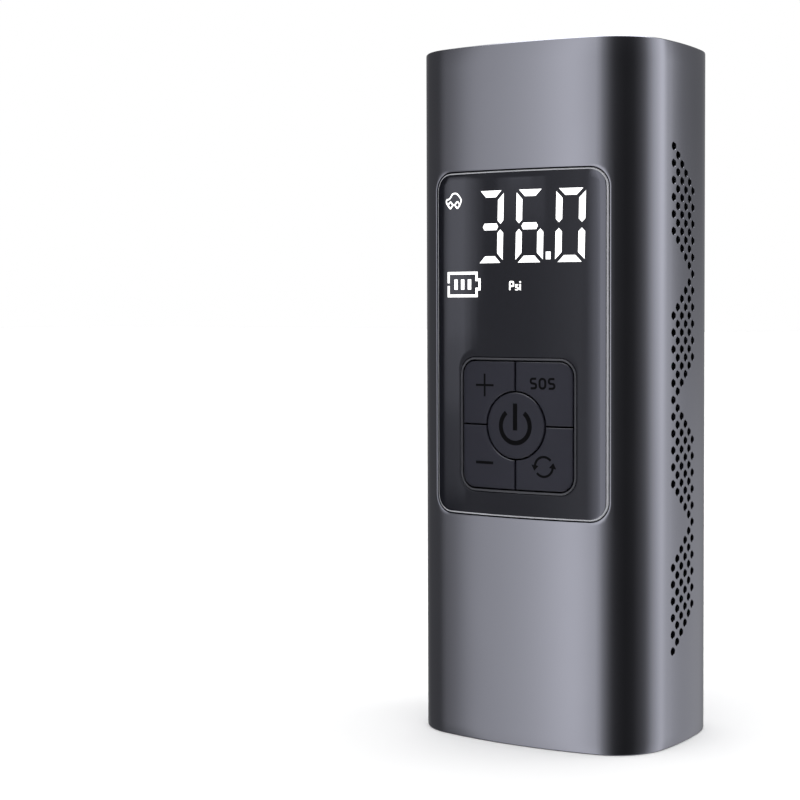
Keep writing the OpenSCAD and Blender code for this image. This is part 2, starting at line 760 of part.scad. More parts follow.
module air_outlet() color("#b8963e") translate([pump_x, pump_y, 0]) difference() {
    union() {
        along_z(stem_z, head_z[1]) circle(chamber_r);
        along_z(head_z[1], head_z[1] + 2) circle(7, $fn = 6);
        along_z(head_z[1] + 2, cap_top) circle(outlet_body_r);
    }
    along_z(stem_z - 1, cap_top) circle(1.3);
    along_z(cap_top - outlet_len, cap_top + 1) circle(outlet_r);
}

module top_board() color(board_green) along_z(top_board_z[0], top_board_z[1]) difference() {
    intersection() {
        section(frame_in + 0.3);
        translate([-half_w, -half_d]) square([half_w + 5.4, body_d]);
    }
    post_circles(post_r + 0.3);
}

module usb_socket() color(steel) translate([0, pump_y, 0]) {
    along_z(top_board_z[1], top_board_z[1] + 1) round_rect(9, 3.3, 1.55);
    along_z(top_board_z[1] + 1, cap_top - 0.2) difference() {
        round_rect(9, 3.3, 1.55);
        round_rect(8.4, 2.7, 1.25);
    }
    along_z(top_board_z[1] + 1, cap_top - 1.2) square([6.7, 0.7], center = true);
}

module lamp_led() color("#f2e6a0") along_z(top_board_z[1], top_board_z[1] + 0.8)
    translate([lamp_x, pump_y]) square(3.5, center = true);

module lamp_reflector() color("#d8dade") translate([lamp_x, pump_y, top_board_z[1]]) rotate_extrude()
    polygon([[2.8, 0.2], [3.3, 0.2], [5.9, 4.5], [5.4, 4.5]]);

module lamp_lens() color("#e8eef2") translate([lamp_x, pump_y, 0]) {
    along_z(cap_top - 1.6, cap_top - 0.1) circle(lens_r);
}

module pressure_sensor() color(black) {
    along_y(board_y[1], board_y[1] + 3) translate([tube_x, sensor_z]) square(7, center = true);
    along_y(board_y[1] + 3, board_y[1] + 6) translate([tube_x, sensor_z]) circle(1.2);
}

// Centre line of the sensor tube as one solid of radius r: left, down, and forward to the sensor
module tube_path(r) {
    bend_x = tube_x + tube_bend;
    bend_y = pump_y - tube_bend;
    along_x(bend_x, 1.9) translate([pump_y, nipple_z]) circle(r);
    translate([bend_x, pump_y, nipple_z - tube_bend]) rotate([90, 0, 0]) rotate(90)
        rotate_extrude(angle = 90) translate([tube_bend, 0]) circle(r);
    along_z(sensor_z + tube_bend, nipple_z - tube_bend) translate([tube_x, pump_y]) circle(r);
    translate([tube_x, bend_y, sensor_z + tube_bend]) rotate([90, 0, 90]) rotate(-90)
        rotate_extrude(angle = 90) translate([tube_bend, 0]) circle(r);
    along_y(board_y[1] + 3.4, bend_y) translate([tube_x, sensor_z]) circle(r);
}

module sensor_tube() color("#d9d9d6") difference() {
    tube_path(tube_r);
    tube_path(tube_bore);
}

sleeve();
top_cap();
bottom_cap();
top_cap_screws();
bottom_cap_screws();
display_window();
window_gasket();
display_housing();
display_board();
display_screws();
digit_display();
display_segments();
key_switches();
keypad_frame();
power_key();
plus_key();
minus_key();
lamp_key();
mode_key();
inner_frame();
battery_cells();
battery_holder();
cell_tabs();
main_board();
board_components();
ribbon_cable();
motor_can();
motor_endcap();
motor_magnets();
motor_rotor();
motor_shaft();
motor_pinion();
motor_leads();
pump_bracket();
bracket_screws();
crank_bearing();
crank_shaft();
crank_gear();
crank_pin();
rod_bearing();
connecting_rod();
wrist_pin();
piston();
piston_ring();
intake_reed();
cylinder_block();  // cylinder
head_gasket();
cylinder_head();
head_screws();
outlet_valve();
valve_spring();
air_outlet();
top_board();
usb_socket();
lamp_led();
lamp_reflector();
lamp_lens();
pressure_sensor();
sensor_tube();
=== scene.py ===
import bpy
import bmesh
import json
import math
import numpy as np
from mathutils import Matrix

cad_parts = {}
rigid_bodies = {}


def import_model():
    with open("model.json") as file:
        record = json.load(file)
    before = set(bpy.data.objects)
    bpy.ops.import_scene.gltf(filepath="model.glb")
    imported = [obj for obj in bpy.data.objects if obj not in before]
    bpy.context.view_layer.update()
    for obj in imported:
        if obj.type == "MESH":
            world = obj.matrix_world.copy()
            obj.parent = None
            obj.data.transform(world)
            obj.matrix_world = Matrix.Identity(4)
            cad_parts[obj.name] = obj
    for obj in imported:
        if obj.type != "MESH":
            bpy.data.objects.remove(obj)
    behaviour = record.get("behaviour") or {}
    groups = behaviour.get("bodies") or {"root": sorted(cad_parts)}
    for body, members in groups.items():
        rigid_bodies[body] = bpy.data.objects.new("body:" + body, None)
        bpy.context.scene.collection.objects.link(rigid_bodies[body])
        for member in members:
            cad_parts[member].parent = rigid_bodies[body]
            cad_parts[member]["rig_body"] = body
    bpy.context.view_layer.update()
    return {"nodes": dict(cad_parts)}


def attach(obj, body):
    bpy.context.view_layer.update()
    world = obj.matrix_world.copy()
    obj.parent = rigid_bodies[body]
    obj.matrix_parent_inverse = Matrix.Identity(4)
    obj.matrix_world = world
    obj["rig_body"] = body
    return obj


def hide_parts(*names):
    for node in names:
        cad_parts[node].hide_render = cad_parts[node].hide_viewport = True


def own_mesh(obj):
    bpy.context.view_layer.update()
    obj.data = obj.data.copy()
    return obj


# Handheld tyre inflator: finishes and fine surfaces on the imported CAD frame.
# Shapes are worked out in millimetres and put into the meshes in metres.

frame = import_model()
nodes = frame["nodes"]
print("frame loaded:", len(nodes), "nodes")

body = {
    "width": 60.0, "depth": 43.0, "height": 150.0,
    "cornerRadius": 12.4, "frontRadius": 104.0, "sideRadius": 67.0,
    "wall": 1.6, "rimRound": 0.4,
}


def cornerCentre(b):
    # a corner circle touches the front arc and the side arc from inside,
    # so its centre is where two arcs smaller by its radius cross
    front = np.array([0, b["depth"] / 2 - b["frontRadius"]])
    side = np.array([b["width"] / 2 - b["sideRadius"], 0])
    span = side - front
    gap = np.hypot(*span)
    ra, rb = b["frontRadius"] - b["cornerRadius"], b["sideRadius"] - b["cornerRadius"]
    along = (ra ** 2 - rb ** 2 + gap ** 2) / (2 * gap)
    across = math.sqrt(ra ** 2 - along ** 2)
    return front + (span * along + np.array([span[1], -span[0]]) * across) / gap


corner = cornerCentre(body)


def frontDepth(x, inset):
    # distance of the front face from the middle: the crown arc, then the corner arc beyond their common tangent
    x = np.abs(np.asarray(x, float))
    r, rc = body["frontRadius"] - inset, body["cornerRadius"] - inset
    tangent = corner[0] * r / (body["frontRadius"] - body["cornerRadius"])
    crown = body["depth"] / 2 - body["frontRadius"] + np.sqrt(r ** 2 - x ** 2)
    bend = corner[1] + np.sqrt(np.maximum(rc ** 2 - (x - corner[0]) ** 2, 0))
    return np.where(x <= tangent, crown, bend)


def sideReach(y, inset):
    # distance of the side face from the middle: one wide arc
    r = body["sideRadius"]
    return body["width"] / 2 - r + np.sqrt((r - inset) ** 2 - np.asarray(y, float) ** 2)


def onFront(points, inset):
    # (x, z) points laid on the front crown at a depth below it
    points = np.asarray(points, float)
    return np.stack([points[..., 0], -frontDepth(points[..., 0], inset), points[..., 1]], -1)


def atDepth(points, y):
    # (x, z) points laid on a flat upright plane
    points = np.asarray(points, float)
    return np.stack([points[..., 0], np.full(points.shape[:-1], float(y)), points[..., 1]], -1)


def gridQuads(nv, nu, closeV=False, closeU=False):
    # cell corners of an nv by nu grid, wrapping round where a direction is closed
    v, u = np.meshgrid(np.arange(nv if closeV else nv - 1), np.arange(nu if closeU else nu - 1), indexing="ij")
    v1, u1 = (v + 1) % nv, (u + 1) % nu
    return np.stack([v * nu + u, v * nu + u1, v1 * nu + u1, v1 * nu + u], -1).reshape(-1, 4)


def loopStrip(a, b):
    # quads between two closed loops of the same count; works on many pairs of loops at once
    return np.stack([a, np.roll(a, -1, -1), np.roll(b, -1, -1), b], -1).reshape(-1, 4)


def outward(points, quads):
    # twice-split quads give the enclosed volume; a negative one means that the shell is inside out
    p = points[quads]
    volume = np.einsum("ij,ij->", p[:, 0], np.cross(p[:, 1], p[:, 2]) + np.cross(p[:, 2], p[:, 3]))
    return quads[:, ::-1] if volume < 0 else quads


def rimOf(grid):
    # the outer loop of a grid, once round
    return np.concatenate([grid[0, :-1], grid[:-1, -1], grid[-1, :0:-1], grid[:0:-1, 0]])


def addPiece(name, points, quads, bodyName, slotName, look, sharp=30.0, replaced=()):
    # points in millimetres become a mesh in metres, with doubles merged and edges above the angle kept crisp
    used, back = np.unique(quads, return_inverse=True)
    mesh = bpy.data.meshes.new(name)
    mesh.from_pydata((points[used] * 0.001).tolist(), [], back.reshape(quads.shape).tolist())
    bm = bmesh.new()
    bm.from_mesh(mesh)
    bmesh.ops.remove_doubles(bm, verts=bm.verts, dist=2e-7)
    bmesh.ops.dissolve_degenerate(bm, edges=bm.edges, dist=1e-8)
    bm.to_mesh(mesh)
    bm.free()
    mesh.shade_smooth()
    mesh.set_sharp_from_angle(angle=math.radians(sharp))
    piece = bpy.data.objects.new(name, mesh)
    bpy.context.scene.collection.objects.link(piece)
    mesh.materials.append(look)
    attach(piece, bodyName)
    if replaced:
        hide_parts(*replaced)
    return piece


def joined(parts):
    # several shells as one point list and one quad list
    points, quads, start = [], [], 0
    for p, q in parts:
        points.append(p)
        quads.append(q + start)
        start += len(p)
    return np.concatenate(points), np.concatenate(quads)


def roundRect(w, h, r, centre=(0, 0), nw=24, nh=24, nc=8):
    # rounded rectangle as one loop: four straight sides, each followed by a quarter circle
    hw, hh = w / 2 - r, h / 2 - r
    a = np.radians(np.linspace(0, 90, nc + 1)[1:])
    tw, th = np.linspace(-1, 1, nw + 1)[:, None], np.linspace(-1, 1, nh + 1)[:, None]
    sides = []
    for turn, t, (mx, mz), (dx, dz) in (
        (-90, tw, (0, -h / 2), (hw, 0)), (0, th, (w / 2, 0), (0, hh)),
        (90, tw, (0, h / 2), (-hw, 0)), (180, th, (-w / 2, 0), (0, -hh)),
    ):
        straight = np.array([mx, mz]) + t * np.array([dx, dz])
        end = straight[-1] - r * np.array([math.cos(math.radians(turn)), math.sin(math.radians(turn))])
        bend = end + r * np.stack([np.cos(a + math.radians(turn)), np.sin(a + math.radians(turn))], -1)
        sides += [straight, bend[:-1]]
    return np.concatenate(sides) + np.array(centre)


def ontoRoundRect(points, w, h, r, centre):
    # nearest point of a rounded rectangle's outline: clamp to its core, then step out by the radius
    q = points - np.array(centre)
    core = np.clip(q, [r - w / 2, r - h / 2], [w / 2 - r, h / 2 - r])
    away = q - core
    return core + r * away / np.linalg.norm(away, axis=-1, keepdims=True) + np.array(centre)


def newGroup(name, inputs, outputs):
    # an empty shader group with its sockets; every input keeps its given default
    group = bpy.data.node_groups.new(name, "ShaderNodeTree")
    for label, kind, value in inputs:
        made = group.interface.new_socket(name=label, in_out="INPUT", socket_type=kind)
        if value is not None:
            made.default_value = value
    for label, kind in outputs:
        group.interface.new_socket(name=label, in_out="OUTPUT", socket_type=kind)
    return group, group.nodes.new("NodeGroupInput"), group.nodes.new("NodeGroupOutput")


def grainGroup():
    # two sizes of noise mixed by a share: a fine tooth and a softer orange peel
    group, gin, gout = newGroup(
        "surface grain",
        [("Vector", "NodeSocketVector", None), ("Scale", "NodeSocketFloat", 4000.0),
         ("Peel", "NodeSocketFloat", 0.3)],
        [("Height", "NodeSocketFloat")])
    n, l = group.nodes, group.links
    fine, peel = n.new("ShaderNodeTexNoise"), n.new("ShaderNodeTexNoise")
    fine.inputs["Detail"].default_value = 3
    peel.inputs["Detail"].default_value = 1
    coarser = n.new("ShaderNodeMath")
    coarser.operation = "MULTIPLY"
    coarser.inputs[1].default_value = 0.13
    l.new(gin.outputs["Vector"], fine.inputs["Vector"])
    l.new(gin.outputs["Vector"], peel.inputs["Vector"])
    l.new(gin.outputs["Scale"], fine.inputs["Scale"])
    l.new(gin.outputs["Scale"], coarser.inputs[0])
    l.new(coarser.outputs[0], peel.inputs["Scale"])
    mix = n.new("ShaderNodeMix")
    l.new(gin.outputs["Peel"], mix.inputs["Factor"])
    l.new(fine.outputs["Fac"], mix.inputs["A"])
    l.new(peel.outputs["Fac"], mix.inputs["B"])
    l.new(mix.outputs["Result"], gout.inputs["Height"])
    return group


def hazeGroup():
    # slow cloudy variation, as left by handling and by the finishing bath
    group, gin, gout = newGroup(
        "handling haze",
        [("Vector", "NodeSocketVector", None), ("Scale", "NodeSocketFloat", 40.0),
         ("Low", "NodeSocketFloat", 0.0), ("High", "NodeSocketFloat", 1.0)],
        [("Value", "NodeSocketFloat")])
    n, l = group.nodes, group.links
    cloud, remap = n.new("ShaderNodeTexNoise"), n.new("ShaderNodeMapRange")
    cloud.inputs["Detail"].default_value = 4
    cloud.inputs["Distortion"].default_value = 0.6
    remap.inputs["From Min"].default_value = 0.3
    remap.inputs["From Max"].default_value = 0.7
    l.new(gin.outputs["Vector"], cloud.inputs["Vector"])
    l.new(gin.outputs["Scale"], cloud.inputs["Scale"])
    l.new(cloud.outputs["Fac"], remap.inputs["Value"])
    l.new(gin.outputs["Low"], remap.inputs["To Min"])
    l.new(gin.outputs["High"], remap.inputs["To Max"])
    l.new(remap.outputs["Result"], gout.inputs["Value"])
    return group


def edgeGroup():
    # one where the surface turns away from straight ahead, zero on the broad front faces
    group, gin, gout = newGroup(
        "worn edge",
        [("Normal", "NodeSocketVector", None), ("Start", "NodeSocketFloat", 0.97), ("Full", "NodeSocketFloat", 0.88)],
        [("Mask", "NodeSocketFloat")])
    n, l = group.nodes, group.links
    split, size, remap = n.new("ShaderNodeSeparateXYZ"), n.new("ShaderNodeMath"), n.new("ShaderNodeMapRange")
    size.operation = "ABSOLUTE"
    l.new(gin.outputs["Normal"], split.inputs[0])
    l.new(split.outputs["Y"], size.inputs[0])
    l.new(size.outputs[0], remap.inputs["Value"])
    l.new(gin.outputs["Start"], remap.inputs["From Min"])
    l.new(gin.outputs["Full"], remap.inputs["From Max"])
    l.new(remap.outputs["Result"], gout.inputs["Mask"])
    return group


grain, haze, edgeMask = grainGroup(), hazeGroup(), edgeGroup()
grainDepth, roughCloud = 0.00002, 1.7


def makeLook(name, colour, shade, rough, metallic=0.0, grainScale=4000.0, peel=0.3, bump=0.1,
             hazeScale=40.0, **fixed):
    # one principled finish: cloudy colour between two tints, roughness that drifts between two values
    # on a cloud that is finer by a fixed factor, and a grain raised by a fixed depth in metres
    look = bpy.data.materials.new(name)
    look.use_nodes = True
    n, l = look.node_tree.nodes, look.node_tree.links
    shader = n["Principled BSDF"]
    place = n.new("ShaderNodeTexCoord")
    g, h, hr = (n.new("ShaderNodeGroup") for _ in range(3))
    g.node_tree, h.node_tree, hr.node_tree = grain, haze, haze
    for box in (g, h, hr):
        l.new(place.outputs["Object"], box.inputs["Vector"])
    g.inputs["Scale"].default_value = grainScale
    g.inputs["Peel"].default_value = peel
    h.inputs["Scale"].default_value = hazeScale
    hr.inputs["Scale"].default_value = hazeScale * roughCloud
    hr.inputs["Low"].default_value, hr.inputs["High"].default_value = rough
    tint = n.new("ShaderNodeMix")
    tint.data_type = "RGBA"
    tint.inputs["A"].default_value = (*colour, 1)
    tint.inputs["B"].default_value = (*shade, 1)
    l.new(h.outputs["Value"], tint.inputs["Factor"])
    l.new(tint.outputs["Result"], shader.inputs["Base Color"])
    l.new(hr.outputs["Value"], shader.inputs["Roughness"])
    tooth = n.new("ShaderNodeBump")
    tooth.inputs["Strength"].default_value = bump
    tooth.inputs["Distance"].default_value = grainDepth
    l.new(g.outputs["Height"], tooth.inputs["Height"])
    l.new(tooth.outputs["Normal"], shader.inputs["Normal"])
    shader.inputs["Metallic"].default_value = metallic
    for label, value in fixed.items():
        shader.inputs[label.replace("_", " ")].default_value = value
    return look


def polishEdges(look):
    # the finish gains a clear coat only where the mask says that the surface rounds over
    n, l = look.node_tree.nodes, look.node_tree.links
    place, mask = n.new("ShaderNodeTexCoord"), n.new("ShaderNodeGroup")
    mask.node_tree = edgeMask
    l.new(place.outputs["Normal"], mask.inputs["Normal"])
    l.new(mask.outputs["Mask"], n["Principled BSDF"].inputs["Coat Weight"])


looks = {
    "anodised_metal": makeLook("anodised_metal", (0.425, 0.432, 0.5), (0.41, 0.416, 0.482), (0.19, 0.215),
        1.0, 5200, 0.25, 0.10, 22),
    "cap_plastic": makeLook("cap_plastic", (0.022, 0.022, 0.025), (0.027, 0.027, 0.03), (0.42, 0.52),
        0.0, 3200, 0.35, 0.5, 60),
    "window_glass": makeLook("window_glass", (0.0032, 0.0034, 0.0056), (0.0042, 0.0044, 0.0068), (0.07, 0.10),
        0.0, 900, 0.8, 0.01, 30,
        IOR=1.44, Specular_Tint=(0.88, 0.89, 1.0, 1)),
    "key_plastic": makeLook("key_plastic", (0.0148, 0.0150, 0.0245), (0.0165, 0.0167, 0.027), (0.40, 0.46),
        0.0, 4200, 0.3, 0.25, 80,
        Coat_Roughness=0.12, Specular_Tint=(0.86, 0.87, 1.0, 1)),
    "rim_plastic": makeLook("rim_plastic", (0.07, 0.071, 0.083), (0.078, 0.079, 0.092), (0.16, 0.22),
        0.45, 3000, 0.3, 0.1, 90,
        Coat_Roughness=0.1),
    "steel": makeLook("steel", (0.58, 0.58, 0.6), (0.52, 0.52, 0.55), (0.22, 0.34),
        1.0, 2600, 0.2, 0.25, 120),
    "inner_plastic": makeLook("inner_plastic", (0.03, 0.03, 0.034), (0.038, 0.038, 0.042), (0.45, 0.6),
        0.0, 2600, 0.4, 0.4, 50),
    "board": makeLook("board", (0.012, 0.085, 0.036), (0.016, 0.1, 0.044), (0.28, 0.4),
        0.0, 1800, 0.4, 0.2, 140),
    "segment_white": makeLook("segment_white", (0.85, 0.85, 0.85), (0.9, 0.9, 0.9), (0.4, 0.5),
        0.0, 2600, 0.3, 0.1, 90),
    "brass": makeLook("brass", (0.72, 0.53, 0.24), (0.64, 0.46, 0.2), (0.24, 0.36),
        1.0, 2600, 0.2, 0.25, 140),
    "cast_aluminium": makeLook("cast_aluminium", (0.56, 0.57, 0.59), (0.48, 0.49, 0.51), (0.38, 0.52),
        1.0, 1500, 0.5, 0.6, 90),
    "gear_plastic": makeLook("gear_plastic", (0.76, 0.72, 0.62), (0.7, 0.66, 0.56), (0.4, 0.5),
        0.0, 2600, 0.3, 0.2, 120),
    "rubber": makeLook("rubber", (0.018, 0.018, 0.018), (0.025, 0.025, 0.025), (0.6, 0.75),
        0.0, 2000, 0.5, 0.5, 60),
    "clear_tube": makeLook("clear_tube", (0.68, 0.68, 0.65), (0.6, 0.6, 0.57), (0.25, 0.35),
        0.0, 1500, 0.4, 0.15, 90),
    "cell_wrap": makeLook("cell_wrap", (0.03, 0.13, 0.33), (0.04, 0.15, 0.36), (0.28, 0.36),
        0.0, 1400, 0.6, 0.2, 60),
    "copper": makeLook("copper", (0.62, 0.26, 0.12), (0.5, 0.2, 0.09), (0.3, 0.42), 1.0, 3200, 0.2, 0.3, 160),
    "lead_red": makeLook("lead_red", (0.42, 0.02, 0.02), (0.5, 0.03, 0.025), (0.4, 0.5),
        0.0, 2600, 0.3, 0.2, 120),
    "lens": makeLook("lens", (0.80, 0.84, 0.86), (0.76, 0.8, 0.83), (0.08, 0.14),
        0.0, 700, 0.8, 0.06, 160, Coat_Weight=0.4),
    "reflector": makeLook("reflector", (0.84, 0.84, 0.86), (0.78, 0.78, 0.8), (0.1, 0.16),
        1.0, 1200, 0.6, 0.1, 160),
    "led": makeLook("led", (0.85, 0.78, 0.32), (0.8, 0.72, 0.26), (0.3, 0.4), 0.0, 2600, 0.3, 0.2, 200),
    "ferrite": makeLook("ferrite", (0.07, 0.07, 0.075), (0.09, 0.09, 0.095), (0.5, 0.62),
        0.3, 2200, 0.4, 0.5, 120),
}
polishEdges(looks["key_plastic"])
polishEdges(looks["rim_plastic"])
markLook = makeLook("key_mark", (0.003, 0.003, 0.004), (0.004, 0.004, 0.005), (0.5, 0.6), 0.0, 4200, 0.3, 0.2, 80,
                    Specular_IOR_Level=0.05)
# painted highlight: an even light grey for the glass's rounded rim, bright whichever way that rim faces
glassEdgeHighlightLook = makeLook("glass_edge", (0.56, 0.565, 0.60), (0.52, 0.525, 0.56), (0.30, 0.38), 0.0, 2600, 0.3, 0.05, 120)
litLook = makeLook("lit_white", (0.8, 0.8, 0.8), (0.86, 0.86, 0.86), (0.4, 0.5), 0.0, 3000, 0.3, 0.05, 200,
                   Emission_Color=(1, 1, 1, 1), Emission_Strength=1.3)
print("finishes made:", len(looks) + 3)

for node in nodes.values():
    for held in node.material_slots:
        held.material = looks[held.material.name.split(".")[0]]

sleeve = {
    "rows": 61, "columns": 6, "rowPitch": 1.79, "columnPitch": 1.79, "firstY": -5.65, "firstZ": 127.95,
    "holeRadius": 0.93, "holeChamfer": 0.06, "split": 4,
    "windowWidth": 43.0, "windowHeight": 74.3, "windowRadius": 4.2, "windowZ": 86.05, "windowChamfer": 0.28,
    "blockHalf": 22.6, "blockMargin": 1.5, "frontColumns": 47, "backHalf": 19.4, "backColumns": 23,
}


def ventPlaces(s):
    # a zigzag band that narrows to a point at each quarter, on alternate sides;
    # every second place of the grid is left solid
    row, col = np.meshgrid(np.arange(s["rows"]), np.arange(s["columns"]), indexing="ij")
    last, mid, c = s["rows"] - 1, (s["rows"] - 1) / 2, s["columns"] - 1
    keep = ((row + col) % 2 == 0) & (col <= np.minimum(row, last - row))
    keep &= (col >= c - np.abs(row - mid / 2)) & (col >= c - np.abs(row - 3 * mid / 2))
    keep &= (np.abs(row - mid) >= c) | (col <= np.abs(row - mid))
    return row[keep], col[keep]


def buildSleeve(s, b):
    # one section loop carried up the outside, over the top rim, down the inside and under the bottom rim;
    # the window and every vent are cut from that grid and edged with loops of their own
    k, wide = s["split"], s["frontColumns"]
    frontX = np.linspace(-s["blockHalf"], s["blockHalf"], wide)
    lowY = s["firstY"] - s["columnPitch"] / 2
    ventY = lowY + np.arange(s["columns"] * k + 1) * s["columnPitch"] / k
    sideY = np.concatenate([[-9.15, -8.15], ventY, [5.3, 6.5, 7.8, 9.1]])
    foreA, aftA = np.radians(np.arange(33.5, 80, 5.6)), np.radians(np.arange(103.5, 166, 5.6))
    backX = np.linspace(s["backHalf"], -s["backHalf"], s["backColumns"])

    def section(inset):
        # once round at a depth below the surface, anticlockwise seen from above, from the left of the front
        rc = b["cornerRadius"] - inset
        fore = np.stack([corner[0] + rc * np.sin(foreA), -corner[1] - rc * np.cos(foreA)], -1)
        side = np.stack([sideReach(sideY, inset), sideY], -1)
        aft = np.stack([corner[0] + rc * np.sin(aftA), corner[1] - rc * np.cos(aftA)], -1)
        right = np.concatenate([fore, side, aft])
        squeeze = corner[0] / (b["frontRadius"] - b["cornerRadius"]) * (b["frontRadius"] - inset) / s["backHalf"]
        back = np.stack([backX * squeeze, frontDepth(backX * squeeze, inset)], -1)
        return np.concatenate([
            np.stack([frontX, -frontDepth(frontX, inset)], -1), right, back, right[::-1] * [-1, 1]])

    lowZ = s["firstZ"] + s["rowPitch"] * (0.5 - s["rows"])
    ventZ = lowZ + np.arange(s["rows"] * k + 1) * s["rowPitch"] / k
    rim, top = b["rimRound"], b["height"]
    below = [rim, 2.5, 5.5, 9, 12.5, 15.5, 18]
    z = np.concatenate([below, ventZ, [132, 135, 138.5, 142, 145.5, top - rim]])
    turn = np.radians([30, 60, 90])
    lip = rim * (1 - np.cos(turn))
    rise = rim * np.sin(turn)
    insets = np.concatenate([
        np.zeros(len(z)), lip, (b["wall"] - lip)[::-1], np.full(len(z), b["wall"]), b["wall"] - lip, lip[::-1]])
    high, low = top - rim + rise, rim - rise
    heights = np.concatenate([z, high, high[::-1], z[::-1], low, low[::-1]])
    loops = {i: section(i) for i in np.unique(insets)}
    flat = np.stack([loops[i] for i in insets])
    nv, nu = flat.shape[:2]
    points = np.concatenate([flat, np.broadcast_to(heights[:, None, None], (nv, nu, 1))], -1).reshape(-1, 3)
    index = np.arange(nv * nu).reshape(nv, nu)
    inner = len(z) + 2 * len(turn)
    innerIndex = index[inner:inner + len(z)][::-1]       # row j of it lies behind row j of the outside
    cell = gridQuads(nv, nu, True, True).reshape(nv, nu, 4)
    keep = np.ones((nv, nu), bool)

    def cut(rows, columns):
        keep[rows, columns] = False
        keep[inner + len(z) - 2 - rows, columns] = False

    # window block
    z0 = s["windowZ"] - s["windowHeight"] / 2 - s["blockMargin"]
    z1 = s["windowZ"] + s["windowHeight"] / 2 + s["blockMargin"]
    j0, j1 = np.searchsorted(z, z0) - 1, np.searchsorted(z, z1)
    cut(*np.ix_(np.arange(j0, j1), np.arange(wide - 1)))
    outerLoop = rimOf(index[j0:j1 + 1, :wide])
    innerLoop = rimOf(innerIndex[j0:j1 + 1, :wide])
    edge = points[outerLoop][:, [0, 2]]
    rings, parts = [outerLoop], [points]
    count = len(points)
    c = s["windowChamfer"]
    for grow, inset, near in (
        (c, 0.0, 0.75), (c, 0.0, 0.5), (c, 0.0, 0.25), (c, 0.0, 0),
        (0.3 * c, 0.3 * c, 0), (0.0, c, 0), (0.0, b["wall"], 0),
    ):
        line = ontoRoundRect(edge, s["windowWidth"] + 2 * grow, s["windowHeight"] + 2 * grow,
                             s["windowRadius"] + grow, (0, s["windowZ"]))
        line = line + (edge - line) * near
        parts.append(onFront(line, inset))
        rings.append(np.arange(count, count + len(line)))
        count += len(line)
    rings.append(innerLoop)
    quads = [loopStrip(a, d) for a, d in zip(rings, rings[1:])]

    # vents on both sides
    row, col = ventPlaces(s)
    firstRight = wide + len(foreA) + 2
    firstLeft = nu - (len(foreA) + 2) - len(ventY)
    angle = np.radians(225 + np.arange(4 * k) * 360 / (4 * k))
    ventJ = len(below) + k * (s["rows"] - 1 - row)
    steps = rimOf(np.stack(np.meshgrid(np.arange(k + 1), np.arange(k + 1), indexing="ij"), -1))
    for side, first, order in ((1, firstRight, col), (-1, firstLeft, s["columns"] - 1 - col)):
        u0 = first + k * order
        span = np.arange(k)
        cut(ventJ[:, None, None] + span[:, None], u0[:, None, None] + span)
        jj, uu = ventJ[:, None] + steps[:, 0], u0[:, None] + steps[:, 1]
        rings = [index[jj, uu]]
        cy = (s["firstY"] + col * s["columnPitch"])[:, None]
        cz = (s["firstZ"] - row * s["rowPitch"])[:, None]
        for r, inset in ((s["holeRadius"], 0.0), (s["holeRadius"] - s["holeChamfer"], s["holeChamfer"]),
                         (s["holeRadius"] - s["holeChamfer"], b["wall"])):
            y = cy + side * r * np.cos(angle)
            circle = np.stack([side * sideReach(y, inset), y, cz + r * np.sin(angle)], -1)
            parts.append(circle.reshape(-1, 3))
            rings.append(np.arange(count, count + circle.shape[0] * circle.shape[1]).reshape(circle.shape[:2]))
            count += circle.shape[0] * circle.shape[1]
        rings.append(innerIndex[jj, uu])
        quads += [loopStrip(a, d) for a, d in zip(rings, rings[1:])]
    quads = np.concatenate([cell[keep].reshape(-1, 4)] + quads)
    return np.concatenate(parts), quads


points, quads = buildSleeve(sleeve, body)
addPiece("sleeve_skin", points, quads, "case", "anodised_metal", looks["anodised_metal"], 28, ["sleeve"])
print("sleeve:", len(quads), "quads")

glass = {
    "width": 42.6, "height": 73.9, "radius": 4.0, "z": 86.05, "front": 0.05, "back": 1.95, "round": 0.4,
    "flange": 2.7, "flangeOut": 1.7, "holeWidth": 29.1, "holeRadius": 3.9, "holeZ": 68.7,
    "holeRound": 0.12, "line": 0.012,
}
counts = {"nw": 30, "nh": 36, "nc": 9}


def glassOutline(g, grow):
    # the glass's rounded rectangle, pushed out evenly by an amount
    return roundRect(g["width"] + 2 * grow, g["height"] + 2 * grow, g["radius"] + grow, (0, g["z"]), **counts)


def glassHole(g, grow):
    # the keypad's opening, pushed out evenly by an amount
    w = g["holeWidth"] + 2 * grow
    return roundRect(w, w, g["holeRadius"] + grow, (0, g["holeZ"]), **counts)


def buildGlass(g):
    # rings run from the keypad's hole out to the edge on the crown, round the edge, and back behind
    stations, e, soft = [], g["round"], g["holeRound"]
    for a in np.radians([90, 60, 30, 0]):
        stations.append(onFront(glassHole(g, soft * (1 - math.sin(a))), g["front"] + soft * (1 - math.cos(a))))
    near, far = glassHole(g, soft), glassOutline(g, -e)
    for t in np.linspace(0, 1, 25)[1:-1]:
        stations.append(onFront(near + (far - near) * t, g["front"]))
    for a in np.radians([0, 22.5, 45, 67.5, 90]):
        stations.append(onFront(glassOutline(g, e * (math.sin(a) - 1)), g["front"] + e * (1 - math.cos(a))))
    stations.append(onFront(glassOutline(g, 0), g["back"]))
    stations.append(onFront(glassOutline(g, g["flangeOut"]), g["back"]))
    stations.append(onFront(glassOutline(g, g["flangeOut"]), g["flange"]))
    near, far = glassOutline(g, 0), glassHole(g, 0)
    for t in np.linspace(0, 1, 13):
        stations.append(onFront(near + (far - near) * t, g["flange"]))
    loops = np.stack(stations)
    points = loops.reshape(-1, 3)
    return points, outward(points, gridQuads(loops.shape[0], loops.shape[1], True, True))


windowGlass = addPiece("window_glass", *buildGlass(glass), "case", "window_glass", looks["window_glass"], 40,
                       ["display_window"])


